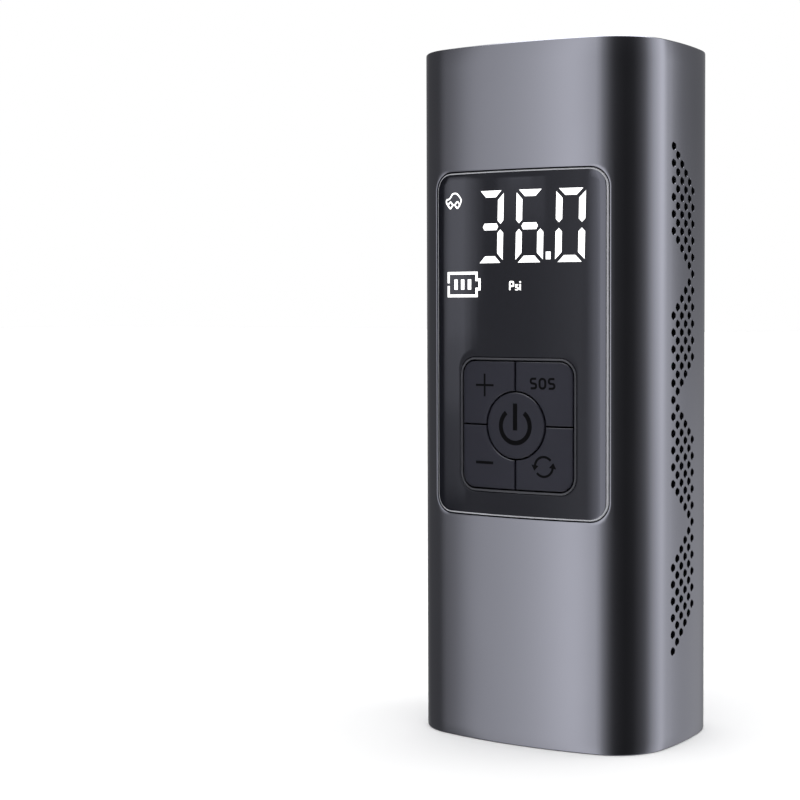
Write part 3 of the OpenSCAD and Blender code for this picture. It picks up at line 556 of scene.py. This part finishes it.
def buildPaintedGlassEdgeHighlight(g):
    # a hair-thin light grey line swept round the rounded edge of the glass: a painted highlight standing in for the
    # light that this edge reflects
    e, t = g["round"], g["line"]
    over = [(e * (math.sin(a) - 1), g["front"] + e * (1 - math.cos(a)) - t) for a in np.radians([12, 28, 44, 60, 74])]
    under = [(grow - 2 * t, inset + 2.5 * t) for grow, inset in over[::-1]]
    loops = np.stack([onFront(glassOutline(g, grow), inset) for grow, inset in over + under])
    points = loops.reshape(-1, 3)
    return points, outward(points, gridQuads(loops.shape[0], loops.shape[1], True, True))


# the glass's bright rim is painted on as this light grey line rather than lit
addPiece("glass_edge_line", *buildPaintedGlassEdgeHighlight(glass), "case", "window_glass", glassEdgeHighlightLook, 60)

rim = {
    "width": 28.9, "radius": 3.8, "z": 68.7, "band": 0.5, "round": 0.14, "front": 0.05,
    "shelfY": (-17.5, -17.1, -16.1), "shelfOut": 1.35, "shelfIn": 0.35,
}


def buildRim(r):
    # a small rounded step swept once round the keypad, with its hidden shelf behind the glass
    b, e, f = r["band"], r["round"], r["front"]
    front = [(-b, f + e), (-b + 0.3 * e, f + 0.3 * e), (-b + e, f), (-e, f), (-0.3 * e, f + 0.3 * e), (0, f + e)]
    (y0, y1, y2), far, near = r["shelfY"], r["shelfOut"], r["shelfIn"]
    behind = [(0, y0), (far, y0), (far, y2), (near, y2), (near, y1), (-b, y1)]
    line = lambda grow: roundRect(
        r["width"] + 2 * grow, r["width"] + 2 * grow, r["radius"] + grow, (0, r["z"]), 24, 24, 9)
    loops = np.stack([onFront(line(g), i) for g, i in front] + [atDepth(line(g), y) for g, y in behind])
    points = loops.reshape(-1, 3)
    return points, outward(points, gridQuads(loops.shape[0], loops.shape[1], True, True))


addPiece("keypad_rim", *buildRim(rim), "case", "rim_plastic", looks["rim_plastic"], 40, ["keypad_frame"])
print("window and keypad rim built")

keys = {
    "z": 68.7, "powerRadius": 7.1, "gap": 0.3, "half": 13.65, "outerRadius": 3.0, "face": 0.1, "round": 0.25,
    "lipY": (-16.8, -16.3), "lip": 0.85, "lipShare": 0.98, "powerLipY": (-15.5, -15.0),
    "stemEnd": -15.0, "stemRadius": 1.2, "stemX": 7.3, "stemZ": 8.0,
}


def keyPatch(k, sx, sz, shrink):
    # straight lines from the circle round the power key out to the rounded square, between two straight grooves;
    # shrink moves all four sides, so a negative one also carries a key past its grooves, into its neighbours
    side, rad, arc = k["gap"] / 2 + shrink, k["outerRadius"] - shrink, k["powerRadius"] + k["gap"] + shrink
    half = k["half"] - shrink
    low = math.asin(side / arc)
    n, m = 10, 8
    bend = np.radians(np.linspace(0, 90, m + 1))
    up = np.linspace(side, half - rad, n + 1)
    far = np.concatenate([
        np.stack([np.full(n, half), up[:-1]], -1),
        np.stack([half - rad + rad * np.cos(bend), half - rad + rad * np.sin(bend)], -1),
        np.stack([up[-2::-1], np.full(n, half)], -1)])
    reach = np.concatenate([[0], np.cumsum(np.hypot(*np.diff(far, axis=0).T))])
    a = low + (math.pi / 2 - 2 * low) * reach / reach[-1]
    near = arc * np.stack([np.cos(a), np.sin(a)], -1)
    t = np.linspace(0, 1, 9)[:, None, None]
    return (near + (far - near) * t) * [sx, sz] + [0, k["z"]]


def buildCornerKey(k, sx, sz):
    # crowned face, rounded edge, wall, retaining lip and flat back, then the stem that meets the switch
    e = k["round"]
    face = onFront(keyPatch(k, sx, sz, e), k["face"])
    lip = -k["lip"] * k["lipShare"]
    back = atDepth(keyPatch(k, sx, sz, lip), k["lipY"][1])
    loops = [onFront(rimOf(keyPatch(k, sx, sz, e * (1 - math.sin(a)))), k["face"] + e * (1 - math.cos(a)))
             for a in np.radians([22.5, 45, 67.5, 90])]
    loops += [atDepth(rimOf(keyPatch(k, sx, sz, g)), k["lipY"][0]) for g in (0, lip)]
    nv, nu = face.shape[:2]
    points = np.concatenate([face.reshape(-1, 3)] + loops + [back.reshape(-1, 3)])
    faceIndex = np.arange(nv * nu).reshape(nv, nu)
    rings, count = [rimOf(faceIndex)], nv * nu
    for line in loops:
        rings.append(np.arange(count, count + len(line)))
        count += len(line)
    backIndex = count + faceIndex
    rings.append(rimOf(backIndex))
    quads = np.concatenate([gridQuads(nv, nu)] + [loopStrip(d, a) for a, d in zip(rings, rings[1:])]
                           + [gridQuads(nv, nu)[:, ::-1] + count])
    return joined([(points, outward(points, quads)), buildStem(k, sx * k["stemX"], k["z"] + sz * k["stemZ"])])


def turned(centre, stations, n=64):
    # a profile of (radius, y) turned about an axis along Y, closed at both poles
    a = np.radians(np.arange(n) * 360 / n)
    loops = np.stack([np.stack([centre[0] + r * np.cos(a), np.full(n, float(y)), centre[1] + r * np.sin(a)], -1)
                      for r, y in stations])
    points = loops.reshape(-1, 3)
    return points, outward(points, gridQuads(loops.shape[0], n, False, True))


def buildStem(k, x, z):
    # a plain round stem from the back of the lip to the switch, with a small chamfer at its tip
    y0, y1 = k["lipY"][1] - 0.05, k["stemEnd"]
    return turned((x, z), [(0, y0), (k["stemRadius"], y0), (k["stemRadius"], y1 - 0.15),
                           (k["stemRadius"] - 0.15, y1), (0, y1)], 24)


def buildPowerKey(k):
    # rings of a disc laid on the crown, its rounded edge, wall, lip and back
    e, r, n = k["round"], k["powerRadius"], 96
    a = np.radians(np.arange(n) * 360 / n)
    circle = lambda radius: np.stack([radius * np.cos(a), k["z"] + radius * np.sin(a)], -1)
    loops = [onFront(circle(q), k["face"]) for q in np.linspace(0, r - e, 10)]
    loops += [onFront(circle(r - e * (1 - math.sin(t))), k["face"] + e * (1 - math.cos(t)))
              for t in np.radians([22.5, 45, 67.5, 90])]
    lip, (y0, y1) = r + k["lip"], k["powerLipY"]
    loops += [atDepth(circle(q), y) for q, y in ((r, y0), (lip, y0), (lip, y1), (0, y1))]
    loops = np.stack(loops)
    points = loops.reshape(-1, 3)
    return points, outward(points, gridQuads(loops.shape[0], n, False, True))


keyLook = looks["key_plastic"]
for label, sx, sz in (("plus", -1, 1), ("minus", -1, -1), ("lamp", 1, 1), ("mode", 1, -1)):
    addPiece(label + "_key_cap", *buildCornerKey(keys, sx, sz), label + "_button", "key_plastic", keyLook, 40,
             [label + "_key"])
addPiece("power_key_cap", *buildPowerKey(keys), "power_button", "key_plastic", keyLook, 40, ["power_key"])
print("keys built")


def ruledSolid(one, two, front, back):
    # straight rungs between two edge lines, given a thickness between two depths below the crown
    one, two = np.asarray(one, float), np.asarray(two, float)
    loops = np.stack([onFront(one, back), onFront(one, front), onFront(two, front), onFront(two, back)], 1)
    points = loops.reshape(-1, 3)
    n = len(one)
    ends = np.array([[3, 2, 1, 0], [4 * n - 4, 4 * n - 3, 4 * n - 2, 4 * n - 1]])
    quads = np.concatenate([gridQuads(n, 4, False, True), ends])
    return points, outward(points, quads)


def ribbon(path, width, front, back, closed=False):
    # a line given a width: each point steps sideways along the bisector of its two neighbours
    p = np.asarray(path, float)
    moved = np.linalg.norm(p - np.roll(p, 1, 0), axis=1) > 1e-6
    p = p[moved | ((np.arange(len(p)) == 0) & (not closed))]
    ahead, behind = np.roll(p, -1, 0) - p, p - np.roll(p, 1, 0)
    if not closed:
        ahead[-1], behind[0] = behind[-1], ahead[0]
    unit = lambda d: d / np.linalg.norm(d, axis=1, keepdims=True)
    side = unit(unit(ahead) + unit(behind)) @ np.array([[0, 1], [-1, 0]])
    square = unit(ahead) @ np.array([[0, 1], [-1, 0]])
    step = side * (width / 2 / np.maximum(np.sum(side * square, 1, keepdims=True), 0.5))
    one, two = p + step, p - step
    if not closed:
        return ruledSolid(one, two, front, back)
    loops = np.stack([onFront(one, back), onFront(one, front), onFront(two, front), onFront(two, back)], 1)
    points = loops.reshape(-1, 3)
    return points, outward(points, gridQuads(len(p), 4, True, True))


def arcPath(centre, r, start, end, n=24):
    # equal angle steps along a circle
    a = np.radians(np.linspace(start, end, n))
    return np.array(centre) + r * np.stack([np.cos(a), np.sin(a)], -1)


def bar(x0, z0, x1, z1, n=7):
    # equal steps along a straight line
    t = np.linspace(0, 1, n)[:, None]
    return np.array([x0, z0]) * (1 - t) + np.array([x1, z1]) * t


mark = {"front": 0.075, "back": 0.3}


def onKeypad(path):
    # from heights about the keypad's middle to heights above the base
    return np.asarray(path) + [0, keys["z"]]


def markPiece(name, parts, bodyName):
    # every line of a mark as a shallow ribbon that stands a hair proud of its key
    solids = [ribbon(onKeypad(p), w, mark["front"], mark["back"], c) for p, w, c in parts]
    return addPiece(name, *joined(solids), bodyName, "key_plastic", markLook, 35)


def roundedPath(points, r, n=5):
    # a broken line whose bends are swapped for short arcs, as quadratic curves between points set back by r
    p = np.asarray(points, float)
    out = [p[:1]]
    t = np.linspace(0, 1, n)[:, None]
    for a, b, c in zip(p, p[1:], p[2:]):
        s = b + (a - b) * min(r / np.hypot(*(a - b)), 0.5)
        e = b + (c - b) * min(r / np.hypot(*(c - b)), 0.5)
        out.append(s * (1 - t) ** 2 + 2 * b * t * (1 - t) + e * t ** 2)
    return np.concatenate(out + [p[-1:]])


def brokenLine(points, step=0.7):
    # straight runs between the given points, cut into equal pieces no longer than a step,
    # so that they follow the crown
    out = []
    for a, b in zip(points, points[1:]):
        n = max(int(np.ceil(np.hypot(b[0] - a[0], b[1] - a[1]) / step)), 1)
        out.append(bar(*a, *b, n + 1)[:-1])
    return np.concatenate(out + [np.array([points[-1]])])


def squareS(x, z, w, h, r=0.45):
    # five strokes of a letter box with its bends rounded
    return roundedPath([(x + w / 2, z + h / 2), (x - w / 2, z + h / 2), (x - w / 2, z), (x + w / 2, z),
                        (x + w / 2, z - h / 2), (x - w / 2, z - h / 2)], r)


markPiece("power_mark", [(arcPath((0, -0.1), 3.6, 128, 412, 48), 1.0, False),
                         (bar(0, -1.0, 0, 4.75), 1.05, False)], "power_button")
markPiece("plus_mark", [(bar(-10.2, 8.5, -5.5, 8.5), 0.46, False), (bar(-7.85, 8.71, -7.85, 10.95), 0.46, False),
                        (bar(-7.85, 6.05, -7.85, 8.29), 0.46, False)], "plus_button")
markPiece("minus_mark", [(bar(-10.2, -8.2, -5.6, -8.2), 0.6, False)], "minus_button")
markPiece("lamp_mark", [
    (squareS(4.5, 9.1, 1.3, 2.05, 0.6), 0.47, False),
    (roundRect(1.35, 2.05, 0.66, (6.65, 9.1), 3, 3, 5), 0.47, True),
    (squareS(8.8, 9.1, 1.3, 2.05, 0.6), 0.47, False)], "lamp_button")

cycle = {"centre": (6.95, -8.5), "radius": 2.1, "width": 0.5, "start": 40, "end": 172, "head": 0.85, "tip": 1.2}


def cycleMark(m):
    # two arcs chasing each other; each arrowhead is ruled from a line across the arc's end to a tip straight ahead
    centre, r = np.array(m["centre"]), m["radius"]
    solids = []
    t = np.linspace(0, 1, 5)[:, None]
    for turn in (0, 180):
        arc = arcPath(centre, r, turn + m["start"], turn + m["end"], 20)
        solids.append(ribbon(onKeypad(arc), m["width"], mark["front"], mark["back"]))
        a = math.radians(turn + m["end"])
        out, ahead = np.array([math.cos(a), math.sin(a)]), np.array([-math.sin(a), math.cos(a)])
        tip = centre + r * out + m["tip"] * ahead
        near, wide = centre + (r - m["head"]) * out, centre + (r + m["head"]) * out
        solids.append(ruledSolid(onKeypad(near * (1 - t) + tip * t), onKeypad(wide * (1 - t) + tip * t),
                                 mark["front"], mark["back"]))
    return addPiece("mode_mark", *joined(solids), "mode_button", "key_plastic", markLook, 35)


cycleMark(cycle)

lit = {
    "front": 0.02, "back": 0.12, "digitWidth": 6.6, "digitHeight": 15.4, "stroke": 1.43, "gap": 0.6, "slant": 1.3,
    "baseZ": 103.4, "places": ((-6.2, "abcdg"), (3.65, "acdefg"), (13.1, "abcdef")),
    "point": (8.05, 1.4), "car": (-16.25, 116.75), "battery": (-13.9, 98.85), "unit": (-0.5, 97.55),
    "unitStretch": 1.13,
}


def digitSegments(d):
    # each bar lies between an outer and an inner edge whose ends are cut along the corner's diagonal
    w, h, s, e = d["digitWidth"] / 2, d["digitHeight"], d["stroke"], d["gap"]
    m, n = h / 2, 8
    flat = lambda z0, z1: (bar(-w + e, z0, w - e, z0, n), bar(-w + s + e, z1, w - s - e, z1, n))

    def upright(sx, z0, zt):
        # from an outer corner to a point at mid height
        way = 1 if zt < z0 else -1
        tip = (sx * (w - s / 2), zt + way * e)
        outer = [(sx * w, z0 - way * e), (sx * w, zt + way * (s / 2 + e)), tip]
        inner = [(sx * (w - s), z0 - way * (s + e)), (sx * (w - s), zt + way * (s / 2 + e)), tip]
        return np.array(outer), np.array(inner)

    t = np.linspace(-1, 1, 7)[:, None]
    shoulder = w - s
    middleTop = np.concatenate([
        [[-w + s / 2 + e, m]], np.hstack([t * (shoulder - e / 2), np.full((7, 1), m + s / 2)]), [[w - s / 2 - e, m]]])
    middleLow = middleTop * [1, -1] + [0, 2 * m]
    return {
        "a": flat(h, h - s), "d": flat(0, s), "g": (middleTop, middleLow),
        "f": upright(-1, h, m), "b": upright(1, h, m), "e": upright(-1, 0, m), "c": upright(1, 0, m),
    }


def litDisplay(d):
    # each segment leans by a shear in proportion to its height; each icon is lines about a place of its own
    shapes, solids = digitSegments(d), []
    lean = math.tan(math.radians(d["slant"]))
    for x, names in d["places"]:
        for name in names:
            one, two = (np.stack([p[:, 0] + x + (p[:, 1] - d["digitHeight"] / 2) * lean, p[:, 1] + d["baseZ"]], -1)
                        for p in shapes[name])
            solids.append(ruledSolid(one, two, d["front"], d["back"]))
    line = lambda path, width, closed=False: solids.append(ribbon(path, width, d["front"], d["back"], closed))
    about = lambda centre, path: [(centre[0] + x, centre[1] + z) for x, z in path]
    pointX, pointZ = d["point"]
    line(bar(pointX - 0.55, d["baseZ"] + pointZ, pointX + 0.55, d["baseZ"] + pointZ), 1.6)

    # car: bonnet, roof and boot in one line, the sill between the wheels, and a lozenge for each wheel
    car, thin = d["car"], 0.31
    line(roundedPath(about(car, [
        (-1.7, -0.75), (-2.25, -0.1), (-2.15, 0.6), (-1.3, 0.62), (-0.35, 1.85),
        (0.85, 1.85), (2.05, 0.6), (2.05, -0.1), (1.6, -0.6)]), 0.45), thin)
    line(np.array(about(car, bar(-0.3, -0.62, 0.25, -0.62))), thin)
    for x in (-1.05, 0.97):
        line(roundedPath(about(car, [
            (x, 0.13), (x + 0.76, -0.65), (x, -1.43), (x - 0.76, -0.65), (x - 0.08, 0.05)]), 0.2), thin)

    # battery: one outline with its contact on the right and a break on the left, and three bars of charge
    battery = d["battery"]
    line(brokenLine(about(battery, [
        (-3.95, 0.3), (-3.95, 2.45), (3.95, 2.45), (3.95, 1.0), (4.75, 1.0),
        (4.75, -1.0), (3.95, -1.0), (3.95, -2.45), (-3.95, -2.45), (-3.95, -0.3)])), 0.58)
    for x in (-1.8, 0.1, 2.0):
        line(np.array(about(battery, bar(x, -1.1, x, 1.1))), 0.92)

    # pressure unit: three letters whose heights share one stretch
    unit, h = d["unit"], d["unitStretch"]
    line(roundedPath(about(unit, [
        (-0.75, 0), (-0.75, 1.6 * h), (0.15, 1.6 * h), (0.15, 0.75 * h), (-0.75, 0.75 * h)]), 0.28), 0.32)
    line(roundedPath(about(unit, [(1.35, h), (0.7, h), (0.7, 0.58 * h), (1.3, 0.52 * h), (1.3, 0.1), (0.6, 0.1)]),
                     0.14), 0.26)
    line(np.array(about(unit, bar(1.85, 0, 1.85, 1.15 * h, 4))), 0.32)
    line(np.array(about(unit, bar(1.85, 1.38 * h, 1.85, 1.68 * h, 3))), 0.34)
    return addPiece("lit_segments", *joined(solids), "case", "segment_white", litLook, 35)


litDisplay(lit)
print("marks and lit display built")


def softened(nodeName, width, slotName, segments=2, angle=35):
    # a merged copy of the node with its flat triangles dissolved and its edges rounded
    source = nodes[nodeName]
    mesh = source.data.copy()
    bm = bmesh.new()
    bm.from_mesh(mesh)
    bmesh.ops.remove_doubles(bm, verts=bm.verts, dist=2e-6)
    bmesh.ops.dissolve_limit(bm, angle_limit=math.radians(1), verts=bm.verts, edges=bm.edges)
    bm.to_mesh(mesh)
    bm.free()
    mesh.shade_smooth()
    mesh.set_sharp_from_angle(angle=math.radians(angle))
    piece = bpy.data.objects.new(nodeName + "_soft", mesh)
    bpy.context.scene.collection.objects.link(piece)
    mesh.materials.clear()
    mesh.materials.append(looks[slotName])
    soft = piece.modifiers.new("edges", "BEVEL")
    soft.width = width * 0.001
    soft.segments = segments
    soft.limit_method = "ANGLE"
    soft.angle_limit = math.radians(angle)
    soft.harden_normals = True
    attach(piece, source["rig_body"])
    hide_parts(nodeName)
    return piece


for name, width, slotName in (
    ("top_cap", 0.15, "cap_plastic"), ("bottom_cap", 0.15, "cap_plastic"), ("air_outlet", 0.15, "brass"),
    ("top_cap_screws", 0.08, "steel"), ("bottom_cap_screws", 0.08, "steel"), ("usb_socket", 0.05, "steel"),
    ("lamp_lens", 0.2, "lens"),
):
    softened(name, width, slotName)
print("softened copies made")


def shorteningSpring():
    # a smooth-shaded copy of the coil in place of the node, on the spring's own body; its length is left as it is
    source = nodes["valve_spring"]
    mesh = source.data.copy()
    mesh.shade_smooth()
    mesh.set_sharp_from_angle(angle=math.radians(50))
    piece = bpy.data.objects.new("valve_spring_coil", mesh)
    bpy.context.scene.collection.objects.link(piece)
    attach(piece, source["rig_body"])
    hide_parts("valve_spring")
    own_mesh(piece)


shorteningSpring()

# direction in degrees from the front towards the right-hand side, then brightness seen in that direction
sharedRing = (
    (-150, 0.34), (-128, 0.16), (-110, 0.09), (-66, 0.08), (-51, 0.19), (-47.5, 0.46), (-44, 0.55), (-38, 0.545),
    (-26, 0.66), (-16, 0.94), (-12.5, 1.08), (-9.5, 0.76), (-2, 0.36), (6, 0.23), (13, 0.12), (21, 0.06),
    (30, 0.032), (45, 0.022), (62, 0.03),
)
studio = {
    "upper": ((-180, 0.22), *sharedRing, (77, 0.095), (87, 0.2), (96, 0.42), (105, 0.66), (117, 0.88),
              (127, 1.13), (137, 1.04), (141, 0.42), (149, 0.20), (165, 0.16), (180, 0.22)),
    "lower": ((-180, 0.30), *sharedRing, (77, 0.085), (87, 0.13), (96, 0.27), (105, 0.49), (117, 0.68),
              (127, 0.88), (137, 0.80), (141, 0.56), (149, 0.44), (165, 0.47), (180, 0.30)),
    "ringBlend": (-0.2, 0.13), "ceilingBlend": (0.76, 0.86), "overhead": 3.3,
}


def makeWorld(s):
    # brightness is a function of the compass direction,
    # blended between an upper and a lower ring by height, with a bright ceiling
    world = bpy.data.worlds.new("studio")
    bpy.context.scene.world = world
    world.use_nodes = True
    n, l = world.node_tree.nodes, world.node_tree.links
    n.clear()

    def maths(operation, a, b=None):
        node = n.new("ShaderNodeMath")
        node.operation = operation
        for socket, value in zip(node.inputs, (a, b)):
            if isinstance(value, (int, float)):
                socket.default_value = value
            elif value is not None:
                l.new(value, socket)
        return node.outputs[0]

    place, split = n.new("ShaderNodeTexCoord"), n.new("ShaderNodeSeparateXYZ")
    l.new(place.outputs["Generated"], split.inputs[0])
    x, y, z = split.outputs
    turn = maths("ARCTAN2", x, maths("MULTIPLY", y, -1))
    around = maths("ADD", maths("DIVIDE", turn, 2 * math.pi), 0.5)

    def ring(stops):
        ramp = n.new("ShaderNodeValToRGB")
        ramp.color_ramp.interpolation = "LINEAR"
        held = ramp.color_ramp.elements
        for degrees, value in stops[1:-1]:
            held.new((degrees + 180) / 360).color = (value, value, value, 1)
        for end, (degrees, value) in ((held[0], stops[0]), (held[len(held) - 1], stops[-1])):
            end.color = (value, value, value, 1)
        l.new(around, ramp.inputs[0])
        return ramp.outputs["Color"]

    def ranged(value, low, high):
        node = n.new("ShaderNodeMapRange")
        node.interpolation_type = "SMOOTHSTEP"
        node.inputs["From Min"].default_value, node.inputs["From Max"].default_value = low, high
        l.new(value, node.inputs["Value"])
        return node.outputs["Result"]

    def blended(factor, a, b):
        node = n.new("ShaderNodeMix")
        node.data_type = "RGBA"
        for socket, value in ((node.inputs["Factor"], factor), (node.inputs["A"], a), (node.inputs["B"], b)):
            if isinstance(value, tuple):
                socket.default_value = value
            else:
                l.new(value, socket)
        return node.outputs["Result"]

    walls = blended(ranged(z, *s["ringBlend"]), ring(s["lower"]), ring(s["upper"]))
    bright = s["overhead"]
    room = blended(ranged(z, *s["ceilingBlend"]), walls, (bright, bright, bright, 1))
    seen = n.new("ShaderNodeLightPath")
    colour = blended(seen.outputs["Is Camera Ray"], room, (1, 1, 1, 1))
    shine, out = n.new("ShaderNodeBackground"), n.new("ShaderNodeOutputWorld")
    l.new(colour, shine.inputs["Color"])
    l.new(shine.outputs[0], out.inputs["Surface"])


strips = {
    "distance": 1.6, "colour": (0.94, 0.95, 1.0),
    # left and right edges in degrees from the front, lowest and highest points in metres, brightness
    "panels": (
        ((-9.4, 14), (-0.9, 1.3), 0.9), ((-8.2, 14), (-0.9, 1.3), 1.1), ((-6.8, 14), (-0.9, 1.3), 1.5),
        ((-4, 14), (-0.9, 1.3), 1.9), ((-55, -47.5), (-0.12, 0.42), 0.65), ((-55, -45.5), (-0.02, 0.39), 0.6),
        ((-54, -43.5), (0.06, 0.35), 0.5), ((-53, -41.5), (0.12, 0.31), 0.35), ((-36.5, -22), (0.19, 0.33), 0.55),
        ((-34.5, -24), (0.215, 0.32), 0.65), ((-33, -26), (0.235, 0.31), 0.6),
    ),
}


def makeStrips(s, glassPiece):
    # upright soft boxes that only the window glass sees, each facing the object; the width is twice the
    # distance times the tangent of half the angle, and brightness times pi times area gives watts
    only = bpy.data.collections.new("window only")
    only.objects.link(glassPiece)
    far = s["distance"]
    for k, ((left, right), (low, high), bright) in enumerate(s["panels"]):
        light = bpy.data.lights.new("strip_%d" % k, "AREA")
        light.shape = "RECTANGLE"
        light.size, light.size_y = 2 * far * math.tan(math.radians(right - left) / 2), high - low
        light.energy = bright * math.pi * light.size * light.size_y
        light.color = s["colour"]
        held = bpy.data.objects.new(light.name, light)
        bpy.context.scene.collection.objects.link(held)
        a = math.radians((left + right) / 2)
        held.location = (far * math.sin(a), -far * math.cos(a), (low + high) / 2)
        held.rotation_euler = (math.radians(90), 0, a)
        held.light_linking.receiver_collection = only
        held.visible_camera = False


def makeFloor():
    # a broad flat pale sheet under the object: equal steps either way out to its half size in metres
    half, n = 6, 9
    t = np.linspace(-1, 1, n) * half
    x, y = np.meshgrid(t, t)
    mesh = bpy.data.meshes.new("floor")
    mesh.from_pydata(np.stack([x, y, np.zeros_like(x)], -1).reshape(-1, 3).tolist(), [], gridQuads(n, n).tolist())
    floor = bpy.data.objects.new("floor", mesh)
    bpy.context.scene.collection.objects.link(floor)
    mesh.materials.append(makeLook("floor_paint", (0.9, 0.9, 0.9), (0.895, 0.895, 0.895), (0.85, 0.9),
                                   0.0, 200, 0.5, 0.02, 3, Specular_IOR_Level=0.0))
    floor.visible_glossy = False


view = {
    "place": (0.1908, -0.3323, 0.0936), "heading": 29.86, "down": 2.111, "lens": 77.18, "shift": (-0.2065, -0.035),
}
camera = bpy.data.objects.new("camera", bpy.data.cameras.new("camera"))
bpy.context.scene.collection.objects.link(camera)
bpy.context.scene.camera = camera
camera.location = view["place"]
camera.rotation_euler = (math.radians(90 - view["down"]), 0, math.radians(view["heading"]))
camera.data.lens = view["lens"]
camera.data.shift_x, camera.data.shift_y = view["shift"]
camera.data.sensor_width = 36
camera.data.clip_start = 0.01
makeWorld(studio)
makeStrips(strips, windowGlass)
makeFloor()
bpy.context.scene.view_settings.view_transform = "Standard"
print("studio ready")
